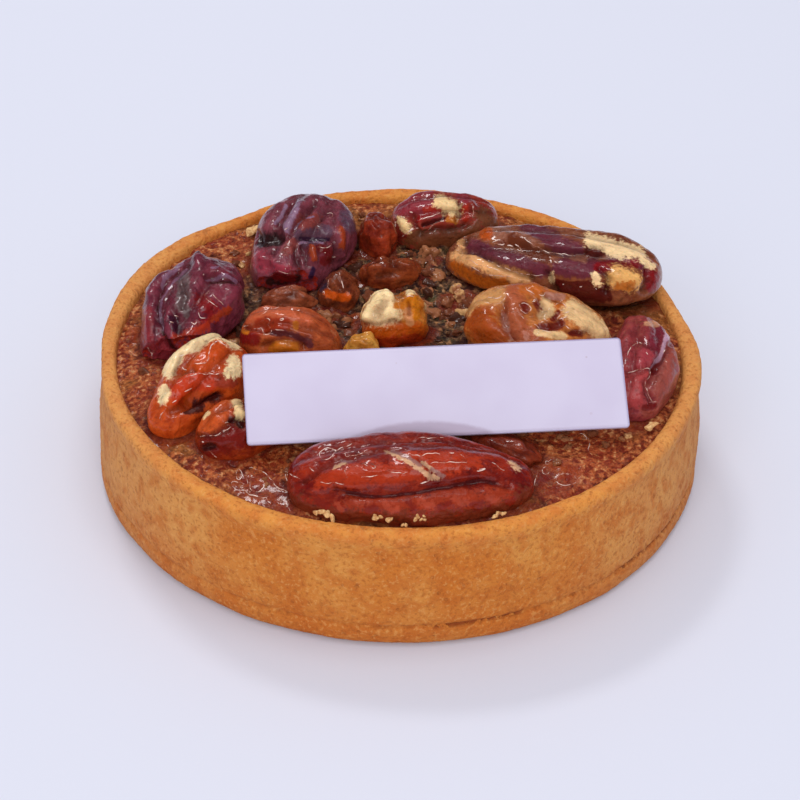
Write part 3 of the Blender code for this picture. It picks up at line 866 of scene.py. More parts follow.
            ((186, 108, 44), 0.9, 0.4, (0.5, 0.5, 0.9, 1.6, 0.9)),
            ((240, 204, 146), 0.6, 0.7, (1, -0.6, 3.2, 1.2, 2.3), (0.65, -6, 0.5, -5.4, -0.5)),
            ((152, 28, 24), 1, 0.3, (0.3, -4.2, 0.8, -2.6, 1.5, -0.8, 2)),
            # painted shade in a crease
            ((92, 10, 16), 1, 0.3, (0.28, -3.2, 0.3, -0.1, 1.3)),
        ),
        "lines": (
            (0.18, -3.7, 0.7, -0.6, 1.8), (0.24, -7.1, 0.6, -6.9, -0.8),
            (0.3, -6, -1.7, -4.9, -0.7, -3.7, -0.3), (0.22, -2.3, -0.5, -1.9, 0, -0.2, 0.6),
            (0.22, 3.9, 2.8, 4.2, 2, 3.9, 1.3), (0.25, -7.5, 1.3, -7.2, 1.3), (0.2, -5, 1.8, -4.5, 1.8),
        ),
    },
    "pecan_back_right": {
        "light": (150, 92, 62), "dark": (118, 62, 48), "deep": (56, 20, 20), "fine": 1.2,
        "creases": (
            (0.7, 0.4, -12.6, 2.8, -10.4, 2.5, -6.8, 0.3, -4.3, -0.7, -3, -1),
            (0.9, 0.4, -0.9, -0.3, 0.4, -3), (0.5, 0.35, 6.5, 0.2, 7.7, -1.2, 7.3, -3),
            (0.5, 0.4, 12.9, 0.4, 13, -1.4, 12.4, -2.7), (0.45, 0.35, -0.9, 2.7, 2.7, 2.2, 4.7, 2.4),
            (0.4, 0.3, 4.5, 2.5, 5.2, 3.1, 7, 2.9), (0.5, 0.4, -12, 5.2, -12.2, 3.7),
        ),
        "ridges": (
            (0.5, 0.7, -8.9, 5.2, -5, 4.7, -3, 3.7, -0.9, 3.1), (0.5, 0.5, 5, 2.5, 6.5, 2.5),
            (0.4, 0.9, 1.1, -0.3, 3.7, -0.5, 5.7, -0.9), (0.4, 1.2, 9.3, -0.9, 11.1, -1.7),
            (0.35, 0.9, -11.4, 1.1, -5.5, -1.4),
        ),
        "layers": (
            ((222, 162, 106), 0.7, 0.5,
             (1.1, -13, 1.9, -10.9, 1.6, -4.3, -1.2), (0.5, -12.9, 4.5, -12.7, 3.6)),
            ((178, 92, 38), 0.8, 0.6, (0.8, -13.5, 0.6, -11.7, -0.7, -9.6, -1.7, -6.8, -1.8)),
            ((104, 50, 62), 1, 0.6,
             (1, -11.2, 3.4, -8.9, 2.5, -1.4, 0.1), (0.9, 0.6, 0.1, 4.7, -0.3, 6.2, 0.1),
             (0.75, 1.6, 1, 4.7, 0.9, 6.8, 0.6, 9.1, 1.2, 11.6, 1.1, 13.2, 0.1),
             (1.2, -3.2, 5.7, -1.4, 5, 1.1, 3.4, 3.2, 2.7)),
            ((132, 28, 40), 1, 0.35,
             (0.65, 6.2, 0.4, 8.6, 0.8, 11.4, 0.8), (0.9, 13.4, 0.4, 13.8, -1.2, 13.7, -2.2),
             (0.5, 0.6, -1.7, 1.1, -2.1)),
            ((84, 14, 24), 1, 0.3,
             (1.1, 1.4, -2.7, 6.5, -3.5), (0.5, 0.6, -1.7, 2.7, -2.1, 5.2, -1.9),
             (0.45, 7.3, -1.7, 7.8, -4), (0.7, 5, 2.7, 5.7, 2.2, 6.8, 2.5)),
            ((150, 96, 76), 1, 0.5, (0.9, -7.6, 5.2, -5, 4.6, -3.2, 3.4), (0.5, 2.7, 1.8, 4.2, 1.6)),
            ((190, 84, 34), 1, 0.4, (0.6, -9.5, 4.8, -8.9, 4.8)),
            ((104, 52, 36), 1, 0.4, (0.7, -5.5, 4, -4, 3.4, -3, 2.4, -0.9, 1.6)),
            ((244, 208, 156), 0.6, 0.8,
             (0.9, 5.2, 4.2, 11.9, 2.3), (0.7, 7.5, 2.8, 9.3, 2), (0.45, -0.3, -0.7, -0.2, -1.4),
             (0.55, 5.9, -0.9, 6.1, -1.7), (0.4, 12.4, 1.3, 13.9, 0.5)),
            ((228, 172, 102), 0.7, 0.7, (1.35, 8.8, -0.9, 10.6, -1.4)),
            ((182, 104, 46), 0.7, 0.9, (0.55, 9.1, -2.2, 10.6, -2.2)),
        ),
        "lines": (
            (0.22, -8.4, 3.9, -7.6, 4.2, -6.6, 3.7, -7.3, 3.4, -8.3, 3.7),
            (0.2, -5.2, 3.6, -4.6, 3.1, -4.2, 2.4), (0.2, -6.2, 3.4, -5.4, 3.2), (0.15, -3.9, 2, -3, 1.8),
            (0.2, -0.5, 1.8, 0.9, 0.8), (0.14, -8, 0.7, -4.3, -0.5, -1.3, -0.7),
            (0.18, -4.3, 4.8, -3.2, 3.7, -0.9, 2.5, 2.7, 2), (0.15, 5.2, 2.9, 6.5, 2.7),
            (0.15, 1.4, -1.9, 1.6, -1.9), (0.15, 3.7, -2.3, 4, -2.3), (0.13, 5.8, -2.5, 6, -2.6),
            (0.12, -12.2, 1.6, -10.2, 0.7, -6.8, -0.2), (0.12, -11.4, 0.6, -8.9, -0.7, -5.5, -0.9),
            (0.2, 14.7, -1.7, 15, -2.2), (0.12, -10.7, 5.6, -10, 5),
        ),
    },
    "pecan_middle": {
        "light": (186, 94, 56), "dark": (150, 66, 42), "deep": (70, 26, 20), "fine": 0.7,
        "creases": (
            (0.7, 0.5, -3.3, 2.4, -1.9, 2, -0.1, 1.9, 1.9, 1.1), (0.5, 0.35, -6.6, 2.8, -3.8, 2.5),
            (0.9, 0.4, -3.6, 0.2, -1.5, 1.1, 0.9, 0.7, 1.9, 0.1),
        ),
        "ridges": (
            (0.6, 0.8, -1.5, 0.1, -0.1, 0.2), (0.3, 0.7, -1.5, 3.2, 0.2, 3.1),
        ),
        "layers": (
            ((190, 94, 62), 0.9, 0.6, (1.3, -4.7, 3.7, -2.5, 4.7, -0.6, 4.5), (0.9, 0.2, 3.6, 1.9, 3.6)),
            ((158, 56, 20), 1, 0.4,
             (0.9, -4, 3, -3.2, 3.1), (0.8, -1.9, 3, -0.8, 3.1), (1, -5.5, 2, -4.9, 1.9)),
            ((104, 54, 58), 1, 0.4,
             (0.45, -2.5, 2.1, -0.8, 2, 0.9, 1.6, 2.2, 0.8), (0.5, 2.2, 1.1, 2.6, 0.3)),
            ((120, 26, 10), 1, 0.4, (0.9, -6.1, 1.4, -4.9, 1.1)),
            ((198, 112, 40), 0.9, 0.3,
             (0.65, -2.3, -0.1, -0.8, 0.4, 0.5, 0.1), (0.4, 0.7, 3.1, 0.7, 2.7),
             (0.35, -6.2, 2.2, -5.9, 2.1)),
        ),
        "lines": (
            (0.14, -4.9, 2.5, -3.8, 2.5, -3.6, 1.8, -3.1, 1.6, -2.6, 1.8, -2.6, 2.4),
            (0.14, -2.7, 2.5, -2.9, 3.1, -2.6, 3.7, -3.2, 3.8, -3.9, 3.5),
            (0.15, -1.4, 3.8, -1.1, 4.1, -0.8, 3.8, -1, 3.5, -1.4, 3.7),
            (0.16, -6.5, 2.7, -5.8, 2.8, -5.2, 3.1), (0.12, -3.7, 4.4, -2.7, 5.1, -1.5, 5.3),
            (0.12, -2.1, 2.3, -0.6, 2.2),
        ),
    },
    "pecan_left_front": {
        "light": (198, 88, 44), "dark": (166, 62, 30), "deep": (76, 28, 18), "fine": 0.9,
        "creases": (
            (1.3, 0.65, -1, -1.2, 1.8, -0.8, 3.1, -0.4), (0.4, 0.4, -2.7, 2.7, -1.8, 2.7, -0.4, 3.1),
            (0.5, 0.5, -3.3, -2.2, -2.3, -1.9, -1.3, -1.2), (0.35, 0.3, -1.9, 5.2, -2.7, 3),
        ),
        "ridges": (
            (0.2, 0.25, -0.2, 3.7, 1, 3.9, 1.6, 4.5, 1.7, 5.8, 2, 6.6, 2.9, 6.8, 3.8, 6.3, 4.6, 5.6),
            (0.2, 0.25, -1.6, 2, -0.4, 2.5, 2.4, 2.4, 3.7, 2.7), (0.4, 0.5, -4.4, 0.5, -4.3, -0.9),
            (0.4, 0.6, -0.4, 6.6, 2.4, 7.5), (0.4, 0.8, 3.1, 4.7, 2.7, 3.3), (0.5, 0.9, -1, 1.1, 0.6, 1.3),
        ),
        "layers": (
            ((190, 76, 30), 0.9, 0.5, (1.6, 0.1, 4.1, 2.7, 5, 2.7, 3.6), (1.3, -3, -1.6, -1.8, 0.3)),
            ((184, 60, 20), 1, 0.4, (1.1, -1.8, 0.9, -0.2, 1.6, 1.8, 1.4), (0.8, -2.9, 0.5, -2.3, -0.6)),
            ((146, 58, 44), 1, 0.4, (0.9, 3.1, 1.6, 4.6, 1.6)),
            # painted shade in the creases
            ((62, 28, 18), 0.5, 0.5, (0.75, -0.2, -1.2, 2.9, -0.5), (0.5, -1.3, -2.2, 0.6, -1.9)),
            ((246, 218, 166), 0.5, 0.6,
             (0.95, -3.7, 3, -3.4, 4.1, -2.4, 5.2, -1, 6.3), (1, -1.6, 6.1, -0.1, 6.4),
             (0.8, 0.6, 6.9, 2.4, 7.7, 3.8, 7.4, 4.9, 6.4), (0.8, 4.7, 4.1, 4.9, 2.8),
             (0.5, 4.2, 3, 4, 2.5), (0.6, -4.4, -0.9, -4.1, 0.3), (0.3, -4.1, 0.9, -4.2, 0.5)),
        ),
        "lines": (
            (0.2, -1, 3.7, 1, 3.9, 1.6, 4.5, 1.7, 5.8, 2, 6.5, 2.9, 6.8, 4.6, 5.6),
            (0.17, -2.7, 1.2, -1.6, 2, -0.4, 2.5, 3.4, 2.5, 4, 3.1), (0.14, -1.9, 3.4, -1.9, 3, -1, 3),
            (0.15, -1.5, 0.2, -0.7, 0.6), (0.15, -3.1, -1.3, -2.6, -0.8), (0.13, -4.9, -3.3, -4.1, -1.9),
            (0.2, 1, 2.7, 1.8, 2.7), (0.2, -2.3, -2.6, -1.7, -2.7), (0.12, -3.6, 2.6, -3.4, 2.4),
            (0.12, 1.2, 1, 1.9, 0.9), (0.12, -2.3, 4.9, -1.5, 5.1),
        ),
    },
    "pecan_lobe": {
        "light": (170, 74, 40), "dark": (126, 44, 26), "deep": (60, 16, 14), "fine": 0.7,
        "creases": (
            (0.8, 0.4, -2.2, 1.6, -1.3, 1.9, -0.6, 1.1), (0.4, 0.4, -6.5, -0.5, -4.8, -0.5, -2.7, 0.3),
            (0.5, 0.4, -5.3, -1.9, -4.2, -1.6),
        ),
        "ridges": (
            (0.5, 0.7, -4.1, 2.3, -2.7, 3.5), (0.4, 0.8, -4.2, -1.1, -2.2, -0.6),
            (0.4, 0.5, -1.4, 3.6, -1.1, 2.7),
        ),
        "layers": (
            ((112, 38, 20), 0.9, 0.4, (1.6, -4.8, -1.6, -1.1, -0.6), (0.8, -1.9, 0.3, -0.8, 0.8)),
            ((190, 84, 44), 0.9, 0.4, (1.1, -4.2, 2.2, -2.7, 3.5), (0.9, -6.2, 1.1, -4.6, 0.9)),
            # painted shade in the creases
            ((66, 10, 14), 0.9, 0.35,
             (0.45, -2.1, 1.7, -1.3, 1.9, -0.8, 1.5), (0.5, -5.4, -1.9, -4.5, -1.7)),
            ((240, 206, 150), 0.5, 0.6, (0.42, -5.5, 2.1, -5.1, 2.4), (0.6, -1.5, 4, -0.9, 2.4)),
        ),
        "lines": (
            (0.16, -6, -0.5, -5.3, -0.3), (0.18, -4.8, -0.4, -4.1, -0.4, -3.3, -0.1),
            (0.12, -3.1, 0, -2, 0.8), (0.15, -4.9, -2.3, -3.9, -3.1), (0.17, -2.8, 1.2, -2.4, 1.3),
            (0.15, -5.8, -1.2, -5.6, -1.3),
        ),
    },
    "pecan_right": {
        "light": (166, 76, 76), "dark": (132, 56, 60), "deep": (84, 28, 32), "fine": 0.9,
        "creases": (
            (0.3, 0.4, -0.7, -0.4, 1, -0.2, 1.8, 0.2, 2.7, 0.2), (0.25, 0.35, 0, 3.3, 1, 3.5, 2.7, 2.7),
            (0.4, 0.4, 4.9, 3.2, 2.8, 0.1, 1.8, -2.5, 2.5, -4.1),
            (0.4, 0.3, 1.5, -1.5, 1.8, -3.1, 2.4, -4.4),
        ),
        "ridges": (
            (0.25, 0.6, 4.4, 6.6, 4.7, 5.3, 4.4, 3.9), (0.2, 0.9, 0.3, 1.9, 0.7, 0.6),
            (0.2, 0.6, 1.7, 5.1, 1.5, 4.3),
        ),
        "layers": (
            ((124, 48, 60), 1, 0.7, (1.2, 3.5, 6.3, 3.4, 4.6, 2.3, 1.4)),
            ((158, 64, 70), 0.8, 0.9, (1.1, 0.3, 2.1, 0.3, 0.6, 1.7, 1.7)),
            ((168, 68, 68), 0.6, 1, (1, 0, -1.1, 0.3, -4.5), (0.7, 1.2, -0.6, 1.7, -1.1)),
            ((150, 76, 66), 0.4, 1,
             (1.3, 5, 2.1, 4.4, 0.4, 3.5, -1.4, 3.9, -3.3), (0.8, 1.8, -5.6, 4, -4.8)),
            ((108, 34, 34), 0.8, 0.5, (0.35, 3.9, 2.1, 2.6, -0.4), (0.4, 1.5, -5.1, 2.7, -4.8)),
            ((206, 146, 110), 0.6, 0.3, (0.42, 1.8, 5.9, 3.2, 6)),
            # painted highlight along the edge
            ((190, 152, 170), 1, 0.3,
             (0.2, 4, 7.2, 4.7, 6.3, 4.8, 5.3, 3.5, 1.7, 2.3, 0), (0.3, 4.3, 4.6, 4.2, 3.7)),
        ),
        "lines": (
            (0.13, -0.8, 1.7, -0.4, 3, 0.7, 3.5, 1.8, 3.2),
            (0.14, -0.8, -0.6, 1.8, 0.2, 2.3, -0.3, 2.2, -0.9, 1.5, -1.4),
            (0.12, 1.5, -1.5, 1.8, -3.1, 2.4, -4.3, 3.1, -4.3), (0.14, 1.7, 2.1, 1.9, 1.9),
            (0.14, 4, 1.4, 4.4, 0.8), (0.13, 3.9, 2.1, 4.1, 2.6),
        ),
    },
    "nut_pale": {
        "light": (202, 126, 66), "dark": (168, 88, 44), "deep": (90, 36, 20),
        "creases": (
            (0.6, 0.6, -4.4, 4.4, -4.6, 3.1, -4.1, 1.6, -3.2, -0.1),
            (0.5, 0.35, 0.1, 4.7, 0.9, 3.9, 0.3, 3.1), (0.45, 0.35, 0.3, 1.6, 1.6, 1.3, 3, 1.9, 2.3, 2.9),
            (0.5, 0.35, 4, 1, 5.4, 0.6, 6.6, 0.7), (0.35, 0.3, 0.9, 5.4, 3, 5),
        ),
        "ridges": (
            (0.5, 1, -7, 3.3, -6.6, 1.8), (0.45, 0.6, -0.4, 6.6, 0.3, 5.7),
            (0.3, 0.35, -2.3, 4.2, -1.8, 3.1, -0.8, 3.6), (0.4, 0.6, -3.2, 3.1, -2.3, 1.6),
            (0.4, 0.5, 4.4, 4.2, 6.5, 2.6, 8.5, 0.7),
        ),
        "layers": (
            ((158, 72, 18), 0.9, 0.9, (2, -8.2, 2.5, -7, 1.1, -5.6, 0.4)),
            ((206, 148, 92), 0.8, 0.5, (1, -8, 4.9, -6.6, 5.4, -4.9, 5.7), (0.5, -9.1, 3.3, -8.5, 4.4)),
            ((164, 86, 58), 1, 0.6,
             (1.4, -2.8, 6.1, -3.2, 4.2, -3.2, 2.5, -2, 0.4, -0.4, 0.2), (0.8, -4.2, 3.1, -3.9, 1.1)),
            ((182, 96, 44), 1, 0.5, (0.9, -1.5, 6.6, -0.3, 6.6, 0.6, 6.1), (0.6, 2, 4, 3.5, 4.2)),
            # painted shade in the creases
            ((110, 40, 24), 1, 0.4,
             (0.6, 0.1, 4.5, 0.7, 3.9), (0.7, 0.6, 1.3, 2, 1.3, 3, 1.9), (0.5, -1.8, 4.2, -1.5, 3.5),
             (0.5, 4.6, 0.7, 5.9, 0.6), (0.35, 2.7, 3.3, 2, 2.5)),
            ((228, 188, 134), 0.6, 0.5,
             (0.75, 1.1, 4.7, 1.6, 3.8, 0.9, 3.1), (1.3, 4.7, 3.7, 6.5, 2.6, 9.2, 0.2),
             (0.5, 0.1, 0.7, 3.5, 0.2)),
            ((178, 120, 100), 1, 0.4, (0.45, -4.4, 3, -4.1, 1.4), (0.35, 1.3, 5.7, 3.4, 5.4)),
        ),
        "lines": (
            (0.15, -2.3, 4, -2.1, 4.7, -1.1, 4.4, -0.7, 3.7, -1.5, 3, -2.1, 3.5, -2.3, 4),
            (0.17, -0.5, 4.8, -0.4, 5.2, -0.1, 5, -0.3, 4.6, -0.6, 4.7),
            (0.14, 2.4, 4.4, 3, 4.6, 3.8, 4.4, 3.8, 3.8, 3.1, 3.4), (0.2, 2.6, 2.4, 3.3, 3.1, 4.2, 3.5),
            (0.15, 4.2, 3.3, 3.7, 2.6, 3, 2.3), (0.15, 0.5, 2, 1.1, 2.3, 1.8, 2.1),
            (0.16, 3.7, 1.6, 4.3, 1.2, 5.9, 0.8, 6.7, 1.1), (0.12, -0.4, 1.8, 0.6, 1, 2, 0.7),
            (0.13, -7.2, 4.8, -6.1, 4.4, -4.9, 4.5, -4.1, 5.2, -4, 5.8),
            (0.12, -6.6, 5.4, -5.4, 5, -4.7, 5.6), (0.12, -1.6, 6.9, -1, 6, -0.3, 5.7),
            (0.13, 0.3, 5.7, 0.9, 5.4, 1.2, 6), (0.12, -2.8, 3.3, -1.8, 2.5), (0.12, 0.9, 2.7, 1.1, 2.3),
        ),
    },
    "walnut_gold": {
        "light": (208, 134, 62), "dark": (176, 92, 34), "deep": (110, 44, 20),
        "creases": (
            (0.2, 0.35, 0.7, 4.4, 0.3, 3.4), (0.35, 0.35, -4, 0, -2.2, 0, -0.7, 0.3, 0.7, 0.1),
            (0.4, 0.3, 1.8, 2.8, 2, 1.3),
        ),
        "ridges": (
            (0.4, 0.6, 2.3, 4.1, 3.4, 3.8, 4, 2.8), (0.5, 0.5, -3.7, 0.7, -2.8, 0.6),
        ),
        "layers": (
            ((196, 88, 22), 1, 0.4, (1.5, -3.5, -1.4, 3, -1.4), (0.6, -4, -0.4, -4.4, -0.2)),
            ((158, 56, 14), 1, 0.5, (1, -2.8, -2.7, 0.1, -2.8, 3, -2.3)),
            ((246, 216, 162), 0.6, 0.45,
             (1.7, -1.3, 4, -2.7, 1.4, -0.7, 1.6), (0.6, -3.7, 0.8, -2.2, 0.7), (0.6, -0.5, 1, 0.2, 0.9),
             (0.45, 1.9, 4.1, 3.2, 4.1, 4.1, 3.2, 4.3, 2.1)),
            ((208, 122, 30), 0.9, 0.35,
             (0.5, 2.6, 3.1, 2.8, 2.2, 2.8, 1), (0.45, 0.2, 2.5, 1.1, 2.4, 2, 3.1)),
            ((206, 140, 92), 0.9, 0.4, (0.5, 1.8, 1.7, 2, 0.2)),
        ),
        "lines": (
            (0.14, 1, 3.4, 1.8, 3.8, 2.5, 3.6), (0.12, -1.7, 0.7, -0.7, 1.3),
        ),
    },
    "pecan_prop_right": {"light": (158, 60, 34), "dark": (124, 40, 28), "deep": (60, 18, 16), "fine": 0.7},
    "pecan_prop_left": {"light": (158, 60, 34), "dark": (124, 40, 28), "deep": (60, 18, 16), "fine": 0.7},
    "piece_back": {"light": (156, 64, 42), "dark": (112, 42, 32), "deep": (52, 20, 18)},
    "piece_flat": {"light": (152, 84, 58), "dark": (108, 50, 38), "deep": (50, 24, 20)},
    "piece_amber": {
        "light": (136, 72, 48), "dark": (88, 44, 34), "deep": (40, 22, 24),
        "layers": (
            ((62, 50, 62), 1, 0.5, (0.8, -3.2, 2.1, -2.2, 1.2)),
            ((198, 86, 24), 1, 0.4, (0.55, -1.5, 0.1, -0.2, -0.4, 1.2, -0.4)),
        ),
        "lines": (
            (0.16, -3, 1.2, -1.1, 2.9), (0.15, -1.3, 2.1, -1.6, 1, -0.7, 0.1),
            (0.16, -0.8, 3.6, -0.2, 3.8, 0.5, 1.9, 0.8, 0.4), (0.14, -2.2, 0.2, -1.8, 0.5, -1.9, 0),
        ),
    },
    "piece_brown": {"light": (152, 76, 46), "dark": (100, 44, 32), "deep": (44, 20, 18)},
    "piece_gold": {"light": (216, 160, 78), "dark": (188, 112, 44), "deep": (120, 60, 26)},
    "piece_low": {"light": (132, 58, 40), "dark": (90, 40, 32), "deep": (46, 26, 28)},
}


def makeNuts():  # each nut with its place and the lines of glaze on it
    laid = []
    for name in (*halfNuts, *brokenNuts):
        place = (halfNuts.get(name) or brokenNuts[name])[1]
        laid.append((makeNut(name), Vector(place) * mm, nutLooks[name].get("lines", ())))
    for master in roundMasters.values():
        bpy.data.objects.remove(master)
    print("nuts laid")
    return laid


# the baked filling

fillingSizes = {
    "edge": 16.1 * mm,
    "dome": 0.9 * mm,
    "lump": 0.45 * mm,
    "radius": 37.75 * mm,  # a little into the wall, so that no gap shows
    "bottom": 2.95 * mm,
    "waist": 8 * mm,  # above it the side is upright, below it the side tapers
    "foot": 0.955,  # the underside's share of the radius
    "cells": 300,
    "chops": (0.32 * mm, 0.26 * mm),  # height near the rim, and how much more in the middle
    "pebbles": (0.30 * mm, 0.12 * mm),
    "holes": (0.40 * mm, 0.50 * mm),
    "grain": 0.13 * mm,
    "climb": 0.35 * mm,  # up the nuts' sides
    "glazePools": (  # x, y, half length, half width in mm, turn: where the glaze lies smooth
        (-16.5, -31.0, 5.0, 2.4, -38), (17.0, -27.0, 5.5, 3.4, 20), (-8.0, -25.0, 6.0, 2.0, 0),
        (-10.5, 6.0, 5.0, 2.5, 0), (8.0, 10.0, 3.0, 3.0, 0),
    ),
    "bubbles": ((-16.5, -31.2, 4.0, 1.8, -38), (17.5, -28.0, 3.4, 1.8, 25)),
}
fillingTones = {
    "brown": (118, 48, 24), "brownPale": (194, 108, 62), "rust": (152, 56, 30), "olive": (156, 106, 50),
    "murky": (48, 38, 32), "murkyPale": (120, 88, 62), "murkyRust": (128, 76, 54),
    "murkyOlive": (104, 94, 62),
    "gap": (66, 30, 22), "tan": (216, 156, 104), "syrup": (112, 36, 12), "syrupPale": (158, 66, 22),
    "besideNuts": (78, 32, 22), "hole": (56, 28, 20), "bubbleRim": (232, 188, 160),
}


def fillingLevel(x, y):
    f = fillingSizes
    inner = shellSizes["rimRadius"] - shellSizes["wall"]
    reach = np.minimum(1.0, np.hypot(x, y) / inner)
    flat = np.c_[x, y, np.zeros(len(x))]
    soft = lumps(flat, 5.5 * mm) + 0.6 * np.array(
        [noise.noise(spot) for spot in (np.c_[x, y, np.full(len(x), 9.0)] / (2.6 * mm)).tolist()]
    )
    return f["edge"] + f["dome"] * (1 - reach**4) + f["lump"] * soft * (1 - 0.6 * reach**6)


def besideNuts(x, y):  # about how far each place is from the nearest nut's outline, in mm, below 0 under it
    nearest = np.full(len(x), 99.0)
    for size, place, turns, more in (*halfNuts.values(), *brokenNuts.values()):
        angle = math.radians(turns[0])
        dx, dy = x / mm - place[0], y / mm - place[1]
        u = dx * math.cos(angle) + dy * math.sin(angle)
        v = dy * math.cos(angle) - dx * math.sin(angle)
        reach = np.sqrt((u / (0.5 * size[0])) ** 2 + (v / (0.5 * size[1])) ** 2)
        nearest = np.minimum(nearest, (reach - 1) * 0.5 * size[1])
    return nearest


def makeFilling():
    f = fillingSizes
    bpy.ops.mesh.primitive_grid_add(x_subdivisions=f["cells"], y_subdivisions=f["cells"], size=2.0)
    filling = newest("fillingBake")
    unit = spotsOf(filling)
    x = unit[:, 0] * np.sqrt(1 - 0.5 * unit[:, 1] ** 2) * f["radius"]  # the square grid pressed into a disc
    y = unit[:, 1] * np.sqrt(1 - 0.5 * unit[:, 0] ** 2) * f["radius"]
    level, kept = fillingRelief(x, y)
    moveSpots(filling, np.c_[x, y, level])
    pickOnly(filling)
    bpy.ops.object.mode_set(mode="EDIT")
    bpy.ops.mesh.select_all(action="SELECT")
    bpy.ops.mesh.region_to_loop()
    bpy.ops.mesh.extrude_region_move(TRANSFORM_OT_translate={"value": (0, 0, -6 * mm)})
    bpy.ops.object.mode_set(mode="OBJECT")
    spots = spotsOf(filling)
    spots[len(unit):, 2] = f["waist"]  # the new ring is made level
    moveSpots(filling, spots)
    bpy.ops.object.mode_set(mode="EDIT")
    bpy.ops.mesh.extrude_region_move(TRANSFORM_OT_translate={"value": (0, 0, f["bottom"] - f["waist"])})
    bpy.ops.transform.resize(value=(f["foot"], f["foot"], 1))
    bpy.ops.mesh.edge_face_add()
    bpy.ops.object.mode_set(mode="OBJECT")
    faceOutwards(filling)
    skirt = np.zeros(len(filling.data.vertices) - len(unit))
    for name, values in kept.items():
        keepValue(filling, name, np.concatenate([values, skirt]))
    finishPiece(filling, fillingFinish(), "filling")
    return filling


def fillingRelief(x, y):  # the height of every place of the top, and what the material wants to know of it
    f = fillingSizes
    flat = np.c_[x, y, np.zeros(len(x))]
    rim = np.hypot(x, y)
    away = besideNuts(x, y)
    beside = np.exp(-np.maximum(away, 0) / 1.6) * ramp(-0.25, 0.25, lumps(flat, 4.5 * mm, 33))
    pool = np.maximum(paintedValue(flat / mm, f["glazePools"]), 0.9 * beside)
    rough = 1 - 0.75 * ramp(0.25, 0.7, pool)
    middle = ramp(33 * mm, 14 * mm, np.hypot(x, y - 4 * mm))  # the chopped nuts show most towards the middle
    chops, pebbles, holes = (least + more * middle for least, more in (f["chops"], f["pebbles"], f["holes"]))
    grains = np.abs(lumps(flat, 1.25 * mm, 17))
    hole = ramp(0.40, 0.60, lumps(flat, 1.9 * mm, 11)) * rough
    hug = np.where(away > 0, np.exp(-np.abs(away) / 0.6), 1.0)
    level = fillingLevel(x, y) + chops * lumps(flat, 2.1 * mm, 15) * rough + pebbles * grains * rough
    level += f["grain"] * (lumps(flat, 1.0 * mm, 2) + 0.7 * lumps(flat, 0.55 * mm, 4)) * rough
    level += f["climb"] * hug - holes * hole
    level -= 1.2 * mm * ramp(-0.3, -2.5, away)  # lower under the nuts, where nothing shows
    level -= 0.30 * mm * ramp(36.0 * mm, 37.4 * mm, rim) * (0.6 + 0.8 * lumps(flat, 3 * mm, 21))
    kept = {"pool": pool, "hug": hug, "hole": hole, "middle": middle, "grains": grains}
    kept["froth"] = paintedValue(flat / mm, f["bubbles"])
    return level, kept


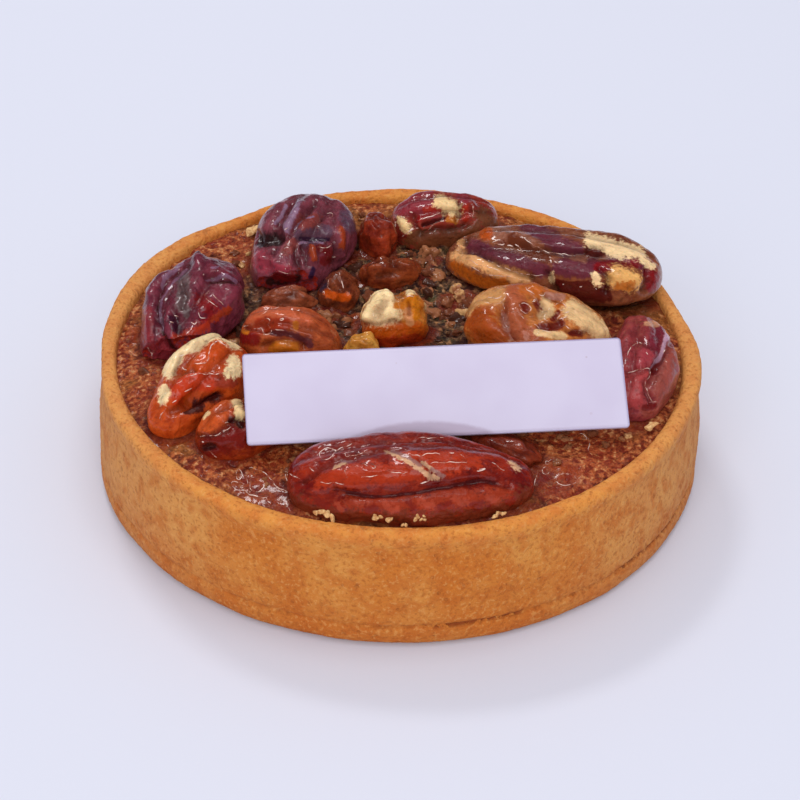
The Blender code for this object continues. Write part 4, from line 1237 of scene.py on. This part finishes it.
def fillingFinish():
    bake = Paint("bakedFilling")
    shade = mixed(fillingTones, wetTone)
    place = bake.objectPlace()
    pool, hug, hole, middle, grains = (
        bake.kept(name) for name in ("pool", "hug", "hole", "middle", "grains")
    )
    patch = bake.cloud(place, 7 * mm, 2, 0.5)
    coarse = bake.cloud(place, 3.0 * mm, 3, 0.6)
    crumb = bake.cloud(place, 0.85 * mm, 3, 0.65)
    small = bake.cloud(place, 0.6 * mm, 3, 0.6)
    fine = bake.cloud(place, 0.32 * mm, 2, 0.6)
    brown = bake.blend(bake.step(0.36, 0.64, crumb), shade["brown"], shade["brownPale"])
    brown = bake.blend(bake.step(0.50, 0.66, patch) * 0.45, brown, shade["rust"])
    brown = bake.blend(bake.step(0.50, 0.36, patch) * 0.45, brown, shade["olive"])
    # darker and greyer in the middle, among the nuts: partly the chopped nuts' own colour, partly painted
    # shade
    murky = bake.blend(bake.step(0.38, 0.62, crumb), shade["murky"], shade["murkyPale"])
    murky = bake.blend(bake.step(0.52, 0.68, coarse) * 0.7, murky, shade["murkyRust"])
    murky = bake.blend(bake.step(0.46, 0.32, coarse) * 0.6, murky, shade["murkyOlive"])
    colour = bake.blend(bake.step(0.24, 0.66, middle + (coarse - 0.5) * 0.9), brown, murky)
    # painted shade: darker in the low gaps between the grains
    colour = bake.blend(bake.step(0.10, 0.0, grains + (fine - 0.5) * 0.1) * 0.55, colour, shade["gap"])
    tan = bake.step(0.55, 0.65, crumb * 0.5 + small * 0.5 + grains * 0.08)
    colour = bake.blend(tan * (0.75 - middle * 0.25), colour, shade["tan"])
    syrup = bake.blend(bake.step(0.35, 0.65, coarse), shade["syrup"], shade["syrupPale"])
    smooth = bake.step(0.30, 0.60, pool + (crumb - 0.5) * 0.5)
    colour = bake.blend(smooth * 0.72, colour, syrup)
    # painted shade: darker where the filling meets the nuts
    colour = bake.blend((hug * 0.60).atMost(1.0), colour, shade["besideNuts"])
    # painted shade: darker in the holes
    colour = bake.blend(hole * 0.6, colour, shade["hole"])
    colour = bake.scaled(colour, 0.55 + fine * 0.90)
    froth = bake.step(0.40, 0.60, bake.kept("froth") + (coarse - 0.5) * 0.4)
    bubble = abs(bake.cells(place, 1.25 * mm) - 0.36 - (crumb - 0.5) * 0.2)
    ring = (1 - bake.step(0.0, 0.05, bubble)) * froth
    # pale rims of the froth's bubbles: partly set froth, partly painted highlight
    colour = bake.blend((ring * 0.18).atMost(1.0), colour, shade["bubbleRim"])
    height = crumb * 0.45 * (1 - smooth * 0.5) + fine * 0.20 + ring * 0.12
    height = height + (1 - bake.cells(place, 1.7 * mm)) * 0.15 * middle
    bake.set(
        BaseColor=colour, Roughness=0.58 - smooth * 0.24, SpecularIORLevel=0.25, CoatRoughness=0.12,
        CoatWeight=0.06 + smooth * 0.26 + bake.step(0.52, 0.66, coarse) * 0.12, Normal=bake.relief(height),
        SubsurfaceWeight=0.08, SubsurfaceRadius=(1.0, 0.4, 0.2), SubsurfaceScale=0.8 * mm,
    )
    return bake.material


bitSizes = {
    "count": 190,
    "seed": 12,
    "reach": 34.5,  # from the tart's centre, mm
    "least": 1.1,
    "most": 2.9,
    "clear": 0.15,  # of the nuts
    "sparse": 0.35,  # how many are kept at the front and near the rim
    "tones": {
        "dark": (80, 52, 44), "brown": (124, 72, 52), "light": (160, 104, 72), "cream": (214, 166, 112),
    },
}


def makeBits():
    b = bitSizes
    draw = random.Random(b["seed"])
    bpy.ops.mesh.primitive_ico_sphere_add(subdivisions=3, radius=1.0)
    master = newest("bitMaster")
    ball = spotsOf(master)
    made = []
    while len(made) < b["count"]:
        angle, far = draw.uniform(0, math.tau), b["reach"] * math.sqrt(draw.random())
        x, y = far * math.cos(angle) * mm, far * math.sin(angle) * mm
        size = draw.uniform(b["least"], b["most"]) * (0.62 if far > 24 else 1.0)
        tall, shift = draw.uniform(0.45, 0.8), draw.uniform(0, 90)
        keep = draw.random() < (b["sparse"] if y < -8 * mm or far > 26 else 1.0)
        if not keep or besideNuts(np.array([x]), np.array([y]))[0] < b["clear"] + 0.3 * size:
            continue
        bit = copyOf(master)
        knobs = 1 + 0.75 * lumps(ball, 0.9, shift) + 0.40 * lumps(ball, 0.45, shift)
        turn = np.array(Matrix.Rotation(draw.uniform(0, math.tau), 3, "Z"))
        spots = (ball * knobs[:, None] * (0.5 * size, 0.36 * size, 0.5 * size * tall)) @ turn.T * mm
        sunk = fillingLevel(np.array([x]), np.array([y]))[0] + 0.02 * size * tall * mm
        moveSpots(bit, spots + (x, y, sunk))
        shade = draw.random() if far < 22 else 0.35 + 0.65 * draw.random()  # the darkest lie in the middle
        keepValue(bit, "shade", np.full(len(spots), shade))
        made.append(bit)
    bpy.data.objects.remove(master)
    bits = joined(made, "choppedNutBits")
    finishPiece(bits, choppedFinish())
    return bits


def choppedFinish():
    chip = Paint("choppedNut")
    shade = mixed(bitSizes["tones"], wetTone)
    place = chip.objectPlace()
    mottle = chip.cloud(place, 1.1 * mm, 3, 0.6)
    fine = chip.cloud(place, 0.4 * mm, 3, 0.6)
    drawn = chip.kept("shade") + (mottle - 0.5) * 0.5
    colour = chip.blend(chip.step(0.15, 0.45, drawn), shade["dark"], shade["brown"])
    colour = chip.blend(chip.step(0.50, 0.75, drawn), colour, shade["light"])
    colour = chip.blend(chip.step(0.88, 1.0, drawn), colour, shade["cream"])
    chip.set(
        BaseColor=chip.scaled(colour, 0.7 + fine * 0.6), Roughness=0.5, SpecularIORLevel=0.15,
        CoatWeight=0.5, CoatRoughness=0.08, Normal=chip.relief(mottle * 0.15 + fine * 0.10),
    )
    return chip.material


# threads of set glaze: rims of run glaze and burst bubbles, pale as painted highlights

threadSizes = {
    "every": 0.22,  # mm between the places where the surface is looked up
    "gap": 1.2 * mm,  # a longer jump ends the thread
    "waver": 0.22,  # mm
    "thin": 0.42,  # of the stroke's half width
    "sink": 0.25,
    "sides": 6,
    "rings": 30,
    "seed": 9,
    "tones": {"clear": (226, 160, 136), "white": (250, 222, 208)},
}
frothLines = (  # on the filling: half width, then points right of and above the tart's centre as seen, mm
    (0.13, -21.8, -3, -22.3, -3.6, -22.1, -4.3, -21.5, -4.3, -21.3, -3.7, -21.4, -3.2, -21.8, -3),
    (0.15, -20.4, -3, -20.3, -2.7, -20, -2.7, -18.5, -3.3, -17.9, -3.7, -16.4, -5.6, -15.1, -6, -14, -7),
    (0.15, -14, -7.1, -14.8, -7, -15.2, -7.3, -15.3, -7.8, -14.8, -8.7),
    (0.16, -22.8, -5.3, -19.4, -6.7, -18.6, -6.9, -17.8, -6.8, -17.2, -7),
    (0.14, -22.8, -5.2, -22.8, -4.8, -22.5, -4.6, -20.8, -5.2, -20.5, -4.8, -20.9, -3.9),
    (0.16, -20, -4.1, -19.3, -4, -18.8, -4.3, -18.3, -4.8, -18.3, -5.5, -18.8, -5.9, -19.4, -6.1, -20.1,
     -5.9, -20.4, -5.4, -20.3, -4.7, -20, -4.1),
    (0.12, -21.6, -5.4, -21.2, -5.2, -20.9, -5.5, -21.3, -5.8, -21.6, -5.4),
    (0.13, -18, -6.8, -18, -7.3, -17.5, -7.7),
    (0.14, -18.6, -7.8, -18.1, -7.6, -17.5, -8, -18.1, -8.3, -18.6, -7.8),
    (0.12, -15.6, -3.2, -14.8, -3.9, -13, -4.7), (0.12, -15.6, -3.3, -15, -4.7, -14.1, -5.5),
    (0.12, -16.2, -5.7, -14.6, -6.2, -13.8, -7), (0.12, 19, -3.7, 18.3, -6.2),
    (0.12, 25.9, 1.5, 26.3, 0.6, 26, -0.2, 26.6, -1), (0.12, 24.5, 2.1, 25.4, 1.9, 25.9, 1.5, 25.8, 0.9),
    (0.14, 23.2, 1, 24, 1),
    (0.11, 24.5, -4.4, 24.4, -4.7, 23.6, -5.2, 22.5, -5.2, 22, -5, 21.6, -4.4, 21.7, -4, 22, -3.7, 23,
     -3.5, 24, -3.7, 24.4, -4, 24.5, -4.4),
    (0.11, 20.8, -3.1, 20.8, -3.5, 20.3, -3.8, 19.8, -3.5, 19.7, -3.1, 20, -2.6, 20.3, -2.5, 20.8, -2.8,
     20.8, -3.1), (0.11, 23.5, -3.6, 23.2, -3.9, 22.8, -3.6, 23.2, -3.3, 23.5, -3.6),
    (0.11, 20.8, -2, 20.7, -2.3, 20.4, -2.4, 20, -2, 20.4, -1.7, 20.8, -2),
    (0.11, 19.5, -0.5, 19.2, -0.8, 18.9, -0.5, 19.2, -0.2, 19.5, -0.5),
    (0.11, 22.4, -5.2, 22.3, -5.5, 21.9, -5.6, 21.6, -5.5, 21.5, -5.2, 21.9, -4.9, 22.3, -5, 22.4, -5.2),
)


def onSurface(thing, centre, right, up):  # where the camera's line of sight meets the surface
    place = cameraPlace()
    start = place.translation
    aim = place @ (place.inverted() @ Vector(centre) + Vector((right, up, 0)) * mm)
    hit, spot, outward, _ = thing.ray_cast(start, (aim - start).normalized())
    return (*spot, *outward) if hit else None


def runsOf(thing, centre, line):  # the parts of a stroke that lie on the surface without a jump
    t = threadSizes
    points = np.array(line).reshape(-1, 2)
    walk = np.concatenate([[0], np.cumsum(np.hypot(*np.diff(points, axis=0).T))])
    stops = np.linspace(0, walk[-1], max(5, int(walk[-1] / t["every"])))
    path = np.c_[np.interp(stops, walk, points[:, 0]), np.interp(stops, walk, points[:, 1])]
    for _ in range(2):
        path[1:-1] = 0.5 * path[1:-1] + 0.25 * (path[:-2] + path[2:])
    level = np.c_[path, np.zeros(len(path))]
    path = path + t["waver"] * np.c_[lumps(level, 0.9, 5), lumps(level, 0.9, 8)]
    runs = [[]]
    for right, up in path:
        found = onSurface(thing, centre, right, up)
        if found is None or (runs[-1] and np.linalg.norm(np.subtract(found, runs[-1][-1])[:3]) > t["gap"]):
            runs.append([])
        if found is not None:
            runs[-1].append(found)
    return [np.array(run) for run in runs if len(run) > 3]


def makeThreads(surfaces):
    t = threadSizes
    draw = random.Random(t["seed"])
    bpy.ops.mesh.primitive_uv_sphere_add(segments=t["sides"], ring_count=t["rings"], radius=1.0)
    master = newest("threadMaster")
    unit = spotsOf(master)
    share = np.arccos(np.clip(-unit[:, 2], -1, 1)) / math.pi  # 0 to 1 along the thread
    girth = np.sin(share * math.pi) ** 0.4
    turn = np.arctan2(unit[:, 1], unit[:, 0])
    made = []
    for thing, centre, strokes in surfaces:
        for width, *line in strokes:
            for run in runsOf(thing, centre, line):
                sideways = np.cross(np.gradient(run[:, :3], axis=0), run[:, 3:])
                sideways /= np.maximum(np.linalg.norm(sideways, axis=1), 1e-12)[:, None]
                where = share * (len(run) - 1)
                steps, columns = np.arange(len(run)), np.c_[run, sideways].T
                follow = np.stack([np.interp(where, steps, column) for column in columns], axis=1)
                uneven = 1 + 0.6 * lumps(np.c_[where, where, where], 4.0, draw.uniform(0, 90))
                thick = t["thin"] * width * mm * girth * uneven
                across = follow[:, 6:] * (np.cos(turn) * thick)[:, None]
                upward = follow[:, 3:6] * (np.sin(turn) * thick * 0.8 + t["sink"] * thick)[:, None]
                thread = copyOf(master)
                moveSpots(thread, follow[:, :3] + across + upward)
                made.append(thread)
    bpy.data.objects.remove(master)
    threads = joined(made, "glazeGlintThreads")
    faceOutwards(threads)
    finishPiece(threads, threadFinish())
    return threads


def threadFinish():
    film = Paint("setGlazeGlint")
    shade = mixed(threadSizes["tones"], wetTone)
    cloudy = film.cloud(film.objectPlace(), 0.9 * mm, 2, 0.5)
    film.set(
        # the clear and white tones are partly set glaze, partly painted highlight
        BaseColor=film.blend(film.step(0.4, 0.6, cloudy), shade["clear"], shade["white"]),
        Alpha=0.12 + film.step(0.36, 0.60, cloudy) * 0.75,  # it breaks off where it is clear
        Roughness=0.18,
        SpecularIORLevel=0.5,
    )
    return film.material


# the card


cardSizes = {
    "wide": 48.3 * mm,
    "high": 12.1 * mm,
    "thick": 0.5 * mm,
    "corner": 0.45 * mm,
    "edge": 0.06 * mm,
    "centre": (4.64, -17.67, 22.75),
    "tilt": 34.0,
    "turn": 6.6,
    "damp": (-2.4, 9.8, -6.05, 2.0),  # middle, half width, foot and height of the damp patch, mm
    "tones": {
        "paper": (202, 194, 217), "pale": (207, 200, 222), "damp": (172, 156, 176), "speck": (176, 150, 160),
    },
}


def makeCard():
    c = cardSizes
    bpy.ops.mesh.primitive_cube_add(size=1.0)
    card = newest("cardBlank")
    card.scale = (c["wide"], c["high"], c["thick"])
    bpy.ops.object.transform_apply(scale=True)
    bpy.ops.object.mode_set(mode="EDIT")
    bpy.ops.mesh.select_all(action="DESELECT")
    bpy.ops.object.mode_set(mode="OBJECT")
    for edge in card.data.edges:
        a, b = (card.data.vertices[i].co for i in edge.vertices)
        edge.select = abs(a.z - b.z) > 0.5 * c["thick"]
    bpy.ops.object.mode_set(mode="EDIT")
    bpy.ops.mesh.select_mode(type="EDGE")
    bpy.ops.mesh.bevel(offset=c["corner"], segments=8, affect="EDGES")
    bpy.ops.object.mode_set(mode="OBJECT")
    faceOutwards(card)
    rounding = card.modifiers.new("softEdge", "BEVEL")
    rounding.width = c["edge"]
    rounding.segments = 2
    rounding.limit_method = "ANGLE"
    rounding.angle_limit = math.radians(50)
    bpy.ops.object.modifier_apply(modifier=rounding.name)
    spots = spotsOf(card)
    keepPlace(card, "cardSpace", spots / mm)
    moveSpots(card, placed(spots, placing(c["centre"], (c["turn"], 0, c["tilt"]))))
    finishPiece(card, cardFinish(), "card", sharp=40)
    return card


def cardFinish():
    stock = Paint("cardStock")
    shade = mixed(cardSizes["tones"])
    place = stock.keptPlace("cardSpace")
    fibre = stock.cloud(place, 0.5, 3, 0.6)
    soft = stock.cloud(place, 9.0, 2, 0.5)
    colour = stock.blend(stock.step(0.3, 0.7, soft), shade["paper"], shade["pale"])
    middle, reach, foot, high = cardSizes["damp"]
    part = (stock.axis(place, "X") - middle) / reach
    arc = high - part * part * high  # the damp patch over the front nut
    damp = stock.step(0.35, -0.35, (stock.axis(place, "Y") - foot) - arc + (fibre - 0.5) * 0.3)
    damp = damp * stock.step(0.0, 0.6, arc)
    colour = stock.blend(damp * 0.75, colour, shade["damp"])
    few = stock.step(0.52, 0.62, stock.cloud(place, 6.0, 1, 0.5))
    speck = stock.step(0.075, 0.045, stock.cells(place, 3.4)) * few
    colour = stock.blend(speck * 0.5, colour, shade["speck"])
    stock.set(
        BaseColor=colour, Roughness=0.42 - damp * 0.12, SpecularIORLevel=0.4,
        Normal=stock.relief(fibre * 0.006 + soft * 0.02),
    )
    return stock.material


# crumbs and flakes


crumbSizes = {
    "rows": (  # x, y, z, size in mm: pastry crumbs between the front nut and the rim
        (-9.3, -36.1, 17.3, 1.1), (-8.5, -36.3, 17.4, 1.2), (-7.7, -36.7, 17.2, 0.9),
        (-2.9, -36.9, 17.5, 1.0), (-2.2, -36.8, 17.7, 0.9), (-0.6, -37.0, 17.4, 1.0),
        (2.4, -36.9, 17.5, 0.9), (2.9, -36.7, 17.9, 0.9), (3.2, -37.0, 17.4, 0.8),
        (1.0, -37.7, 17.2, 0.6), (12.1, -35.5, 17.2, 0.9), (13.0, -35.2, 17.2, 0.8),
    ),
    "flakes": (  # x, y, z, length, width in mm, turn: at the edge of the filling
        (32.4, -16.6, 17.3, 2.3, 0.7, 28), (-21.3, 26.9, 17.4, 2.6, 1.5, 52),
    ),
    "flakeThick": 0.35,
    "knobs": 3,
    "knobSize": 0.32,
    "rough": 0.30 * mm,
    "seed": 5,
    "tones": {"dark": (196, 138, 84), "pale": (232, 190, 130)},
}


def makeCrumbs():
    c = crumbSizes
    draw = random.Random(c["seed"])
    made = []
    for x, y, z, size in c["rows"]:
        for _ in range(c["knobs"]):
            place = (
                x + draw.uniform(-0.4, 0.4) * size, y + draw.uniform(-0.25, 0.25) * size,
                z + draw.uniform(0.0, 0.25) * size,
            )
            bpy.ops.mesh.primitive_ico_sphere_add(
                subdivisions=3, radius=c["knobSize"] * size * mm, location=Vector(place) * mm
            )
            made.append(bpy.context.object)
    for x, y, z, long, wide, turn in c["flakes"]:
        bpy.ops.mesh.primitive_ico_sphere_add(subdivisions=4, radius=mm, location=Vector((x, y, z)) * mm)
        flake = bpy.context.object
        flake.scale = (0.5 * long, 0.5 * wide, c["flakeThick"])
        flake.rotation_euler = (0.1, -0.12, math.radians(turn))
        made.append(flake)
    crumbs = joined(made, "pastryCrumbs")
    bpy.ops.object.transform_apply(location=True, rotation=True, scale=True)
    spots = spotsOf(crumbs)
    shift = np.c_[lumps(spots, 0.7 * mm, 1), lumps(spots, 0.7 * mm, 5), lumps(spots, 0.7 * mm, 9)]
    moveSpots(crumbs, spots + shift * c["rough"])
    finish = Paint("paleCrumb")
    shade = mixed(c["tones"])
    fleck = finish.cloud(finish.objectPlace(), 0.4 * mm, 3, 0.6)
    finish.set(
        BaseColor=finish.blend(finish.step(0.35, 0.65, fleck), shade["dark"], shade["pale"]),
        Roughness=0.75, Normal=finish.relief(fleck * 0.12),
    )
    finishPiece(crumbs, finish.material)
    return crumbs


setStage()
makeShell()
filling = makeFilling()
makeBits()
nuts = makeNuts()
makeThreads([(filling, Vector((0, 0, 0)), frothLines), *nuts])
makeCard()
makeCrumbs()
